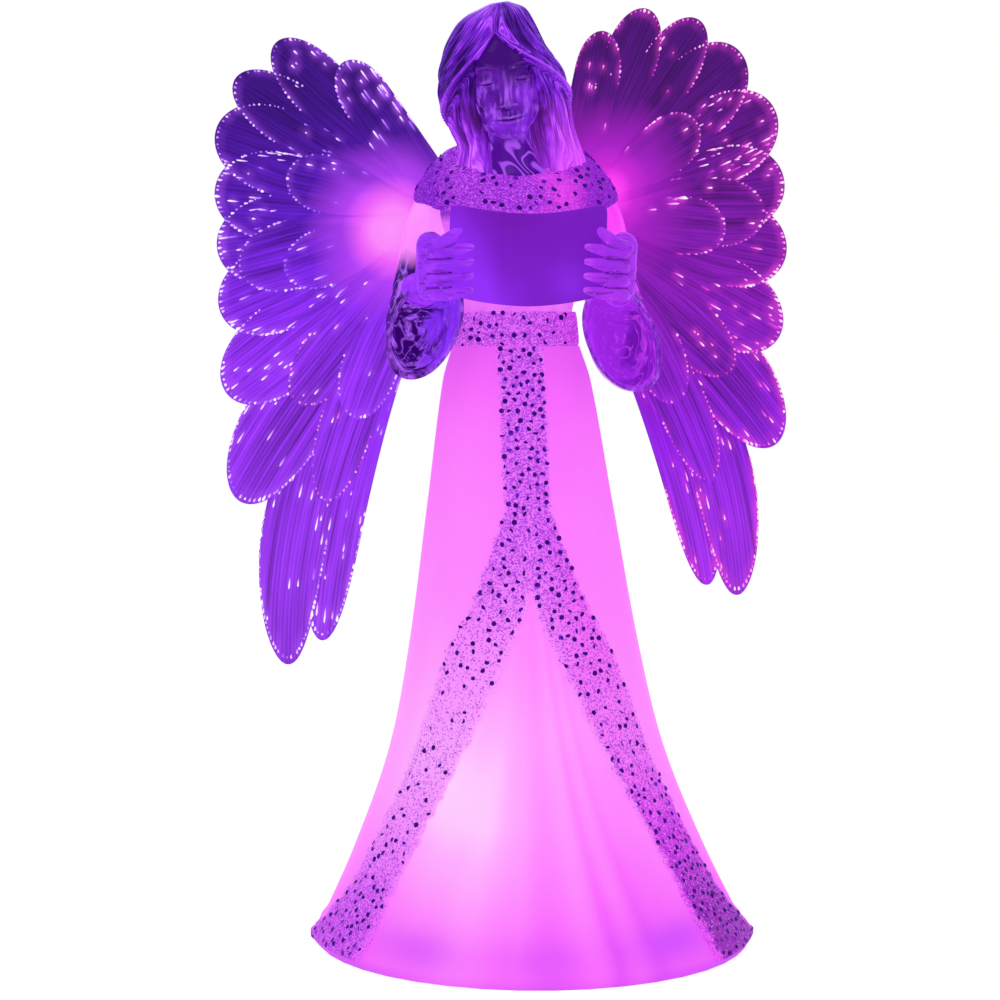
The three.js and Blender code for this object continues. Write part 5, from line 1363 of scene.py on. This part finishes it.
def face_relief(x, share):
    """A calm, plain face: brows, closed lids, nose, lips and chin, by height from chin (0) to crown (1)."""
    pair = np.abs(x)
    lash = share - 0.46 - 0.016 * ((pair - 6.2) / 3.4) ** 2
    brow = share - 0.6 + 0.02 * ((pair - 6.4) / 4) ** 2
    mouth = share - 0.154 - 0.007 * (x / 4) ** 2
    relief = -1.5 * bell(pair - 6.2, 3.6) * bell(share - 0.51, 0.06)
    relief += 1.2 * bell(np.hypot((pair - 6.2) / 2.9, (share - 0.488) / 0.038), 0.9)
    relief -= 0.55 * bell(pair - 6.2, 2.9) * bell(lash, 0.01)
    relief += 0.8 * bell(pair - 6.4, 3.9) * bell(brow, 0.022)
    nose = Profile((0.235, 0), (0.275, 1), (0.34, 0.8), (0.5, 0.3), (0.58, 0))(share)
    relief += 3.2 * nose * bell(x, 1.5 + 0.9 * bell(share - 0.28, 0.05))
    relief += 0.9 * bell(pair - 2.5, 1.1) * bell(share - 0.272, 0.022)
    relief += 0.75 * bell(x, 3.6) * bell(mouth - 0.024 + 0.006 * bell(x, 0.9), 0.015)
    relief += 0.95 * bell(x, 3.0) * bell(mouth + 0.023, 0.018)
    relief -= 0.75 * bell(x, 4.2) * bell(mouth, 0.009)
    relief += 1.0 * bell(x, 4.5) * bell(share - 0.035, 0.045)
    relief += 0.7 * bell(pair - 8.5, 3.6) * bell(share - 0.3, 0.08)
    return relief


class ANGEL_OT_head(bpy.types.Operator):
    """Make the head with its plain face, and the parted hair."""

    bl_idname = "angel.head"
    bl_label = "Head and hair"

    def execute(self, context):
        settings = context.scene.angel_body
        angle = turns(220)[None, :]
        share = np.linspace(0, 1, 200)[:, None]
        x = head_width(share) * HEAD_HALF_WIDTH * np.cos(angle)
        ahead = np.sin(angle) < 0
        reach = np.where(ahead, head_front(share) * FACE_DEPTH, head_back(share) * HEAD_BACK_DEPTH)
        relief = face_relief(x, share) * np.clip(-np.sin(angle) * 1.6, 0, 1)
        y = reach * np.sin(angle) - relief
        z = np.broadcast_to(CHIN_HEIGHT + share * HEAD_HEIGHT, x.shape)
        skull = capped(np.stack([x, y, z], -1))
        neck = [(0, 0, -NECK_PLUG / 2), (0, 0, CHIN_HEIGHT / 2), (0, 0, CHIN_HEIGHT + HEAD_HEIGHT / 3)]
        flare = [NECK_DIAMETER * share for share in (1.75, 1.2, 0.94, 0.95, 1)]
        throat = capped(limb_rings(neck, flare, 24, 40))
        points, faces = merged([skull, throat])
        piece = new_piece("clear_head", to_body(placed(points, HEAD_PLACE)), faces)
        dress(piece, skin_finish(settings.skin_colour), "figure", "clear_violet", "head")
        self.hair(settings.hair_colour)
        return {"FINISHED"}

    def hair(self, colour):
        """Locks swept back from a centre parting over others that hang beside the face."""
        top = CHIN_HEIGHT + HEAD_HEIGHT + HAIR_RISE
        cheek = CHIN_HEIGHT + HEAD_HEIGHT / 4
        peak = CHIN_HEIGHT + 0.85 * HEAD_HEIGHT
        half_open = FACE_OPENING / 2
        opening = Profile(
            (-top, 0.75 * half_open), (cheek, half_open), (0.75 * peak, 0.8 * half_open),
            (0.93 * peak, 0.42 * half_open), (peak, 0.2),
        )
        levels, columns = 130, 460
        foot = HAIR_FOOT - 2
        share = np.linspace(0, 1, levels)[:, None]
        height = foot + share * (top - foot)
        level = np.clip((height - HAIR_FOOT) / (top - HAIR_FOOT), 0, 1)
        half = hair_width(level) * HAIR_HALF_WIDTH
        drape = np.clip((0.84 - level) / 0.41, 0, 1.3) * 1.4
        gape = np.arcsin(np.clip(np.where(height < peak, opening(height), 0.2) / half, 0.004, 0.95))
        gape = np.minimum(gape, drape + 0.02)
        column = np.linspace(0, 1, columns)[None, :]
        turn = gape + column * (2 * math.pi - 2 * gape)
        off = np.minimum(turn, 2 * math.pi - turn)
        over = 1 / (1 + np.exp(-(off - drape) * 22))
        flow = np.minimum(0.24 * np.log1p(np.exp((0.84 - level) / 0.07)), 1.8)
        fade = np.clip((math.pi - off) / 1.4, 0, 1)
        swept = 25 * (off - flow * fade * fade * (3 - 2 * fade))
        waves = 2.4 * np.sin(height * 0.15 + off * 4) + 1.0 * np.sin(height * 0.36 + off * 9 + 1)
        lock = (off - gape) * 26 + waves * np.clip((off - gape) * 4, 0, 1) + 40
        sweep = over * swept + (1 - over) * lock + np.where(turn < math.pi, 0, 90)
        locks = 0.5 + 0.5 * ripple(0.62 * sweep, 0.37 * sweep + 2)
        ridge = 0.6 * locks + 0.4 * (0.5 + 0.5 * ripple(2.1 * sweep, 3.3 * sweep + 0.8))
        # The rim along the edges of the swept locks: a slight lift, and a painted highlight through the ridge
        # value
        rim = bell(off - drape - 0.06, 0.05) * np.clip((0.84 - level) * 20, 0, 1)
        rim = rim * np.clip((level - 0.36) * 12, 0, 1)
        deep = 1.3 + 0.9 * (1 - over)
        lift = ((ridge - 0.85) * deep - 1.4 * (1 - over) + 0.5 * rim) * np.clip((1 - level) * 8, 0, 1)
        part = -1.2 * bell(np.minimum(column, 1 - column) * 60, 1.0) * np.clip((level - 0.8) * 8, 0, 1)
        pinch = -1.6 * bell(height - 11, 5) * bell(turn - 1.5 * math.pi, 0.7)

        def shell(inset):
            out = lift + part + pinch - inset
            x = (half + out) * np.sin(turn) + HAIR_LEAN * hair_lean(level)
            ahead = np.cos(turn) > 0
            deep = np.where(ahead, hair_front(level) * HAIR_FRONT_DEPTH, hair_back(level) * HAIR_BACK_DEPTH)
            y = -(deep + out) * np.cos(turn)
            z = np.broadcast_to(height, x.shape)
            return np.stack([x, y, z - 0.3 * inset * level], -1)

        outer = shell(0.0)
        inner = shell(np.minimum(4.2, 0.55 * half) * np.ones_like(column))
        points, faces = plate_shell(outer, inner)
        strand = np.broadcast_to(sweep, outer.shape[:2]).ravel()
        # Painted shade under the parted locks and on the inner wall, and painted highlight along the rim, carried
        # in the ridge value
        under = 0.3 * (1 - over) * np.clip((level - 0.45) * 4, 0, 1)
        tone = np.broadcast_to(ridge + 0.7 * rim - under, outer.shape[:2])
        values = {"strand": np.tile(strand, 2), "ridge": np.concatenate([tone.ravel(), np.zeros(tone.size)])}
        piece = new_piece("parted_hair", to_body(placed(points, HEAD_PLACE)), faces, values)
        dress(piece, strand_finish(colour), "figure", "clear_violet", "hair")


class FeatherSheet:
    """One feather in its wing's frame: where its fibres run, and its cut edge."""

    def __init__(self, feather, name, low, thickness, fibre_pitch, seed):
        wing = WINGS[name]
        self.root = HUB_CORE / 2 + LAYER_GAP
        self.length = getattr(feather, name)
        self.glow = np.array(wing.glow, float)
        self.half = feather.width / 2
        foot = feather.stem / 2
        self.bend = feather.bend
        self.angle = math.radians(wing.lowest + wing.spread * feather.place)
        self.low = low
        self.high = low + thickness
        self.fibres = int(round(feather.width / (fibre_pitch / MM)))
        self.seed = seed
        self.belly = self.root + 0.72 * (self.length - self.root)
        t = np.linspace(0, 1, 60)
        grow = self.belly - self.root
        x = self.root + grow * (1.2 * t * (1 - t) ** 2 + 1.8 * t**2 * (1 - t) + t**3)
        y = foot * ((1 - t) ** 3 + 3 * t * (1 - t) ** 2) + self.half * (3 * t**2 * (1 - t) + t**3)
        self.side = lambda at: np.interp(at, x, y) / self.half

    def spot(self, along, across, depth):
        """Points at shares along a fibre and across the feather, at a depth in the wing's frame."""
        turn = across * math.pi / 2
        end_x = self.belly + (self.length - self.belly) * np.cos(turn) ** 0.9
        end_y = self.half * np.sin(turn)
        x = self.root + (end_x - self.root) * along
        y = end_y * self.side(x)
        share = (x - self.root) / (self.length - self.root)
        y = y + 4 * self.bend * share * (1 - share)
        turned_x = x * math.cos(self.angle) - y * math.sin(self.angle)
        turned_y = x * math.sin(self.angle) + y * math.cos(self.angle)
        return np.stack(np.broadcast_arrays(turned_x, turned_y, depth), -1)

    def mesh(self, shade, sparks):
        """The ridged sheet, with the values that its finish reads."""
        rows, columns = 34, 2 * self.fibres + 1
        along = np.linspace(0, 1, rows)[:, None]
        across = np.linspace(-1, 1, columns)[None, :]
        ridge = np.where(np.arange(columns) % 2 == 1, 0.05, -0.02)[None, :] * np.clip(along * 5, 0, 1)
        front = self.spot(along, across, self.high + ridge)
        back = self.spot(along, across, np.broadcast_to(self.low, ridge.shape))
        points, faces = plate_shell(front, back)
        flat = front.reshape(-1, 3)[:, :2]
        halo = np.zeros(len(flat))
        for spot, power, width in sparks:
            halo += power * bell(np.linalg.norm(flat - spot[:2], axis=1), width)
        fibre = np.broadcast_to((across + 1) * self.fibres / 2, front.shape[:2])
        values = {
            "fibre": fibre.ravel() + 37.0 * self.seed,
            "along": np.broadcast_to(along, front.shape[:2]).ravel(),
            "reach": np.linalg.norm(flat - self.glow, axis=1),
            "shade": np.full(len(flat), shade),
            "halo": halo,
        }
        return points, faces, {key: np.tile(numbers, 2) for key, numbers in values.items()}


def bead(length, width, taper):
    """A small rounded bead along X, with the share of its light that each point keeps."""
    rings = ((-1.0, 0.1, 1), (-0.8, 0.75, 1), (-0.45, 1.0, 0.95), (0.3, 0.75, 0.7), (1.0, 0.1, 0.3))
    angle = turns(6)
    points = np.array([
        [(a * length / 2, r * width / 2 * math.cos(t), r * width / 3 * math.sin(t)) for t in angle]
        for a, r, _ in rings
    ])
    light = np.repeat([1 - taper * (1 - keep) for _, _, keep in rings], len(angle))
    return points, light


# How fast the lit ends brighten and fade along a cut edge, per millimetre
PATCH_RATES = (0.17, 0.41, 0.9)
# How far the lit ends stand off their sheet, and the depth of a fan's feather and of its step
SPARK_RISE = 0.12
FAN_FEATHER = 0.25
FAN_FEATHER_STEP = 0.17


class ANGEL_OT_wings(bpy.types.Operator):
    """Make both fibre wings with their lit fibre ends and their hubs."""

    bl_idname = "angel.wings"
    bl_label = "Fibre wings"

    def execute(self, context):
        settings = context.scene.angel_wings
        pivots = {joint["name"]: joint for joint in frame["joints"]}
        fibre = {
            "left": fibre_finish(
                "left_fibre_sheet",
                ((0.05, srgb(158, 60, 246)), (0.44, srgb(148, 50, 246)), (0.52, srgb(136, 44, 240)),
                 (0.64, srgb(96, 29, 194)), (0.72, srgb(86, 25, 178)), (0.84, srgb(62, 17, 130))),
                ((0.0, srgb(253, 150, 253)), (0.24, srgb(252, 136, 252)), (0.4, srgb(238, 98, 252)),
                 (0.62, srgb(188, 70, 251))), 14, settings.left_halo),
            "right": fibre_finish(
                "right_fibre_sheet",
                ((0.12, srgb(168, 52, 244)), (0.3, srgb(150, 38, 232)), (0.4, srgb(138, 31, 204)),
                 (0.54, srgb(136, 27, 184)), (0.7, srgb(112, 22, 154)), (0.9, srgb(78, 16, 120))),
                ((0.0, srgb(255, 76, 250)), (0.17, srgb(250, 58, 242)), (0.3, srgb(206, 41, 217)),
                 (0.55, srgb(170, 32, 200))), 14, settings.right_halo),
        }
        spark = {
            "left": spark_finish(
                "left_lit_ends", srgb(96, 34, 214), srgb(240, 200, 255), srgb(170, 100, 255),
                srgb(255, 84, 190)),
            "right": spark_finish(
                "right_lit_ends", srgb(130, 26, 170), srgb(255, 180, 255), srgb(226, 80, 240),
                srgb(255, 50, 170)),
        }
        hub = plastic_finish("hub_plastic", srgb(214, 160, 232), 0.42)
        for name, wing in WINGS.items():
            pivot = pivots[f"{name}_wing_turn"]
            normal = Vector(pivot["axis"]).normalized()
            outward = Vector((0, 0, 1)).cross(normal) * wing.side
            place = Matrix.Translation(Vector(pivot["pos_m"]) / MM) @ Matrix(
                (outward, Vector((0, 0, 1)), normal)).transposed().to_4x4()
            self.wing(name, wing, place, settings, fibre[name], spark[name])
            self.hub(name, place, hub)
        return {"FINISHED"}

    def wing(self, name, wing, place, settings, fibre, spark):
        """One wing's feathers, each with its lit ends."""
        front = FAN_THICKNESS + FAN_STEP + LAYER_GAP
        fan = [
            (feather, (len(FAN) - 1 - index) * FAN_FEATHER_STEP, FAN_FEATHER, 0.0)
            for index, feather in enumerate(FAN)
        ]
        groups = [("feather_fan", fan)]
        for title, feather in LONG_FEATHERS.items():
            low = -LAYER_GAP - feather.layer * FEATHER_LAYER - FEATHER_THICKNESS
            groups.append((f"{title}_long_feather", [(feather, low, FEATHER_THICKNESS, 0.75)]))
        for title, feather in COVERTS.items():
            low = front + feather.layer * FEATHER_LAYER
            groups.append((f"{title}_covert", [(feather, low, FEATHER_THICKNESS, 0.3)]))
        for number, (title, members) in enumerate(groups):
            rng = np.random.default_rng([settings.seed, wing.side + 1, number])
            sheets, values, beads = [], [], []
            for index, (feather, low, thickness, shade) in enumerate(members):
                sheet = FeatherSheet(feather, name, low, thickness, settings.fibre_pitch, number + index)
                lights = self.sparks(sheet, feather, title, wing, settings, rng, beads)
                points, faces, numbers = sheet.mesh(shade, lights)
                sheets.append((points, faces))
                values.append(numbers)
            points, faces = merged(sheets)
            joined = {key: np.concatenate([v[key] for v in values]) for key in values[0]}
            piece = new_piece(f"{name}_{title}_sheet", placed(points, place), faces, joined)
            dress(piece, fibre, f"{name}_wing", "fibre", f"{name}_{title}")
            points, faces = merged([capped(form) for form, _, _ in beads])
            lit = {"power": np.concatenate([light for _, light, _ in beads]),
                   "tint": np.concatenate([np.full(len(light), tint) for _, light, tint in beads])}
            piece = new_piece(f"{name}_{title}_lights", placed(points, place), faces, lit)
            dress(piece, spark, f"{name}_wing", "fibre")

    def sparks(self, sheet, feather, title, wing, settings, rng, beads):
        """Lit fibre ends along the feather's cut edge, and a few comets of light along its fibres."""
        size = settings.spark_size / MM
        covert = title.endswith("covert")
        hanging = title.endswith("long_feather")
        lively = hanging or 0.2 < feather.place < 0.68 or (wing.side < 0 and feather.place > 1)
        warm = 0.9 if title in ("hanging_covert", "trailing_covert") else 0.0
        if wing.side > 0:
            warm = 0.8 if title == "hanging_covert" else 0.2 if covert else 0.6
        bright = 0.72 if covert else 1.05 if lively else 0.82
        across = np.linspace(-1, 1, 400)
        edge = sheet.spot(np.full(400, 0.995), across, sheet.high)
        step = np.concatenate([[0], np.cumsum(np.linalg.norm(np.diff(edge, axis=0), axis=1))])
        marks = np.arange(0.5, step[-1], settings.spark_pitch / MM)
        phases = rng.uniform(0, 6.3, 3)
        lights = []
        for mark in marks + rng.normal(0, 0.25, len(marks)):
            at = np.interp(mark, step, across)
            patch = 0.66 + 0.34 * ripple(*(rate * mark + phase for rate, phase in zip(PATCH_RATES, phases)))
            here = sheet.spot(np.array(0.985), np.array(at), sheet.high + SPARK_RISE)
            ahead = sheet.spot(np.array(1.0), np.array(at), sheet.high + SPARK_RISE)
            power = float(np.clip(rng.normal(bright, 0.25) * patch, 0.0, 1.0))
            if power < 0.25:
                continue
            wide = size * (0.6 + 0.6 * power) * rng.uniform(0.85, 1.15)
            tint = warm * rng.uniform(0.3, 1.0)
            long = wide * rng.uniform(1.0, 2.6 if lively else 1.5)
            self.add_bead(here, here - ahead, long, wide, power, 0.3, tint, beads)
            lights.append((here, 0.4 * power * bright, 1.0 + 0.9 * power))
        count = rng.integers(20, 32) if lively and not covert else rng.integers(3, 8)
        hot = rng.uniform(-0.7, 0.7)
        for _ in range(int(count)):
            along = rng.uniform(0.45, 0.97)
            at = np.clip(rng.normal(hot, 0.5), -0.9, 0.9)
            here = sheet.spot(np.array(along), np.array(at), sheet.high + SPARK_RISE)
            ahead = sheet.spot(np.array(along + 0.02), np.array(at), sheet.high + SPARK_RISE)
            power = float(np.clip(rng.normal(0.4 + 0.5 * along, 0.25), 0.3, 1.0))
            long = rng.uniform(2.0, 8.0) if lively else rng.uniform(1.2, 4.0)
            tint = warm * rng.uniform(0.2, 1.0)
            self.add_bead(here, here - ahead, size * long, size * 0.8, power, 1.0, tint, beads)
            lights.append((here, 0.4 * power, 1.7))
        return lights

    def add_bead(self, here, heading, length, width, power, taper, tint, beads):
        """Adds one lit end that lies along its fibre."""
        heading = heading / max(np.linalg.norm(heading), 1e-9)
        side = np.array([-heading[1], heading[0], 0])
        axes = np.stack([heading, side, np.array([0, 0, 1.0])])
        points, light = bead(length, width, taper)
        beads.append((points @ axes + here, light * power, tint))

    def hub(self, name, place, material):
        """The plug that grips a wing's fibres, turned about its axis."""
        low, high = -3.0, 4.5
        outline = [
            (0.5, low - 1.6), (11.8, low - 1.6), (12.7, low - 1.3), (13, low - 0.8), (12.7, low - 0.2),
            (12.2, low), (HUB_CORE / 2, low), (HUB_CORE / 2, high), (10.4, high), (10.9, high + 0.3),
            (11, high + 0.8), (10.7, high + 1.4), (10.2, high + 1.6), (5, high + 1.6), (5, high + 6.3),
            (4.7, high + 6.6), (2.85, high + 6.6), (2.85, high - 0.7), (0.5, high - 0.7),
        ]
        angle = turns(72)
        rings = np.array([[(r * math.cos(t), r * math.sin(t), z) for t in angle] for r, z in outline])
        points, faces = capped(rings)
        piece = new_piece(f"{name}_plug_hub", placed(points, place), faces)
        dress(piece, material, f"{name}_wing", "white_plastic", f"{name}_wing_hub")


class ANGEL_OT_inner_parts(bpy.types.Operator):
    """Give the base, battery case, switch, lamps and bracket their finishes."""

    bl_idname = "angel.inner_parts"
    bl_label = "Base and inner parts"

    def execute(self, context):
        white = plastic_finish("white_plastic", srgb(232, 226, 238), 0.5)
        dark = plastic_finish("dark_plastic", srgb(44, 42, 50), 0.5)
        pink = plastic_finish("base_plastic", srgb(240, 120, 250), 0.5)
        looks = {
            "white_plastic": white, "dark_plastic": dark, "frosted": pink, "steel": steel_finish(),
            "cell": cell_finish(), "board": board_finish(), "lamp": lamp_finish(),
        }
        for entry in frame["record"]["subparts"]:
            node = frame["nodes"][entry["node"]]
            material = looks.get(entry["material_slot"])
            if material is None or node.hide_render:
                continue
            for slot in node.material_slots:
                slot.material = material
        return {"FINISHED"}


# The floor lies a hair over the base's underside, so that both show cleanly
FLOOR_REACH = 3000
FLOOR_RISE = 0.05


class ANGEL_OT_stage(bpy.types.Operator):
    """Set the floor, light and camera."""

    bl_idname = "angel.stage"
    bl_label = "Stage"

    def execute(self, context):
        settings = context.scene.angel_stage
        scene = context.scene
        scene.view_settings.view_transform = "Standard"
        self.floor()
        self.world(scene)
        for name, spot, size, power in (
            ("key_light", (-0.7, -1.0, 1.1), 0.9, 9.0), ("fill_light", (0.9, -0.8, 0.7), 1.1, 5.0),
            ("back_light", (0.2, 1.0, 0.9), 0.8, 4.0),
        ):
            lamp = bpy.data.lights.new(name, "AREA")
            lamp.size = size
            lamp.energy = power
            light = bpy.data.objects.new(name, lamp)
            light.location = spot
            light.rotation_euler = (Vector((0, 0, 0.16)) - Vector(spot)).to_track_quat("-Z", "Y").to_euler()
            scene.collection.objects.link(light)
        aim = Vector((-0.0107, 0, 0.148))
        turn = settings.azimuth
        eye = Vector((aim.x + math.sin(turn) * settings.distance, -math.cos(turn) * settings.distance,
                      settings.eye_height))
        camera = bpy.data.objects.new("camera", bpy.data.cameras.new("camera"))
        camera.data.lens = settings.lens
        camera.data.sensor_width = 36
        camera.location = eye
        camera.rotation_euler = (aim - eye).to_track_quat("-Z", "Y").to_euler()
        scene.collection.objects.link(camera)
        scene.camera = camera
        return {"FINISHED"}

    def floor(self):
        """A plain white floor that keeps the figure's shadow."""
        sides = ((-1, -1), (1, -1), (1, 1), (-1, 1))
        corners = [(x * FLOOR_REACH, y * FLOOR_REACH, FLOOR_RISE) for x, y in sides]
        plane = new_piece("floor", corners, [(0, 1, 2, 3)])
        paper = Finish("floor_paper")
        white = paper.node("ShaderNodeEmission", None, {"Color": (1, 1, 1, 1), "Strength": 1.35})
        matt = paper.node("ShaderNodeBsdfDiffuse", None, {"Color": (0.9, 0.9, 0.9, 1)})
        mixed = paper.node("ShaderNodeMixShader", None, {0: paper.seen() * 0.65, 1: matt, 2: white})
        paper.node("ShaderNodeOutputMaterial", None, {"Surface": mixed})
        plane.data.materials.append(paper.material)

    def world(self, scene):
        """Even light from all around, white where it is seen."""
        scene.world = bpy.data.worlds.new("studio")
        sky = Finish("studio", scene.world)
        strength = 0.45 + sky.seen() * 0.55
        light = sky.node("ShaderNodeBackground", None, {"Color": (1, 1, 1, 1), "Strength": strength})
        sky.node("ShaderNodeOutputWorld", None, {"Surface": light})


class ANGEL_PT_panel(bpy.types.Panel):
    """Lists the figure's pieces in the sidebar."""

    bl_label = "Angel"
    bl_idname = "ANGEL_PT_panel"
    bl_space_type = "VIEW_3D"
    bl_region_type = "UI"
    bl_category = "Angel"

    def draw(self, context):
        for operator in PIECES:
            self.layout.operator(operator.bl_idname)
        for group in SETTINGS:
            box = self.layout.box()
            settings = getattr(context.scene, group)
            for key in settings.bl_rna.properties.keys():
                if key not in ("rna_type", "name"):
                    box.prop(settings, key)


SETTINGS = {
    "angel_skirt": SkirtSettings, "angel_trim": TrimSettings, "angel_body": BodySettings,
    "angel_wings": WingSettings, "angel_stage": StageSettings,
}
PIECES = (
    ANGEL_OT_skirt, ANGEL_OT_trim, ANGEL_OT_upper_body, ANGEL_OT_head, ANGEL_OT_wings,
    ANGEL_OT_inner_parts, ANGEL_OT_stage,
)


def register():
    for cls in (*SETTINGS.values(), *PIECES, ANGEL_PT_panel):
        bpy.utils.register_class(cls)
    for name, group in SETTINGS.items():
        setattr(bpy.types.Scene, name, bpy.props.PointerProperty(type=group))


def unregister():
    for name in SETTINGS:
        delattr(bpy.types.Scene, name)
    for cls in (ANGEL_PT_panel, *reversed(PIECES), *SETTINGS.values()):
        bpy.utils.unregister_class(cls)


def main():
    register()
    for operator in PIECES:
        group, name = operator.bl_idname.split(".")
        getattr(getattr(bpy.ops, group), name)()


if __name__ == "__main__":
    main()
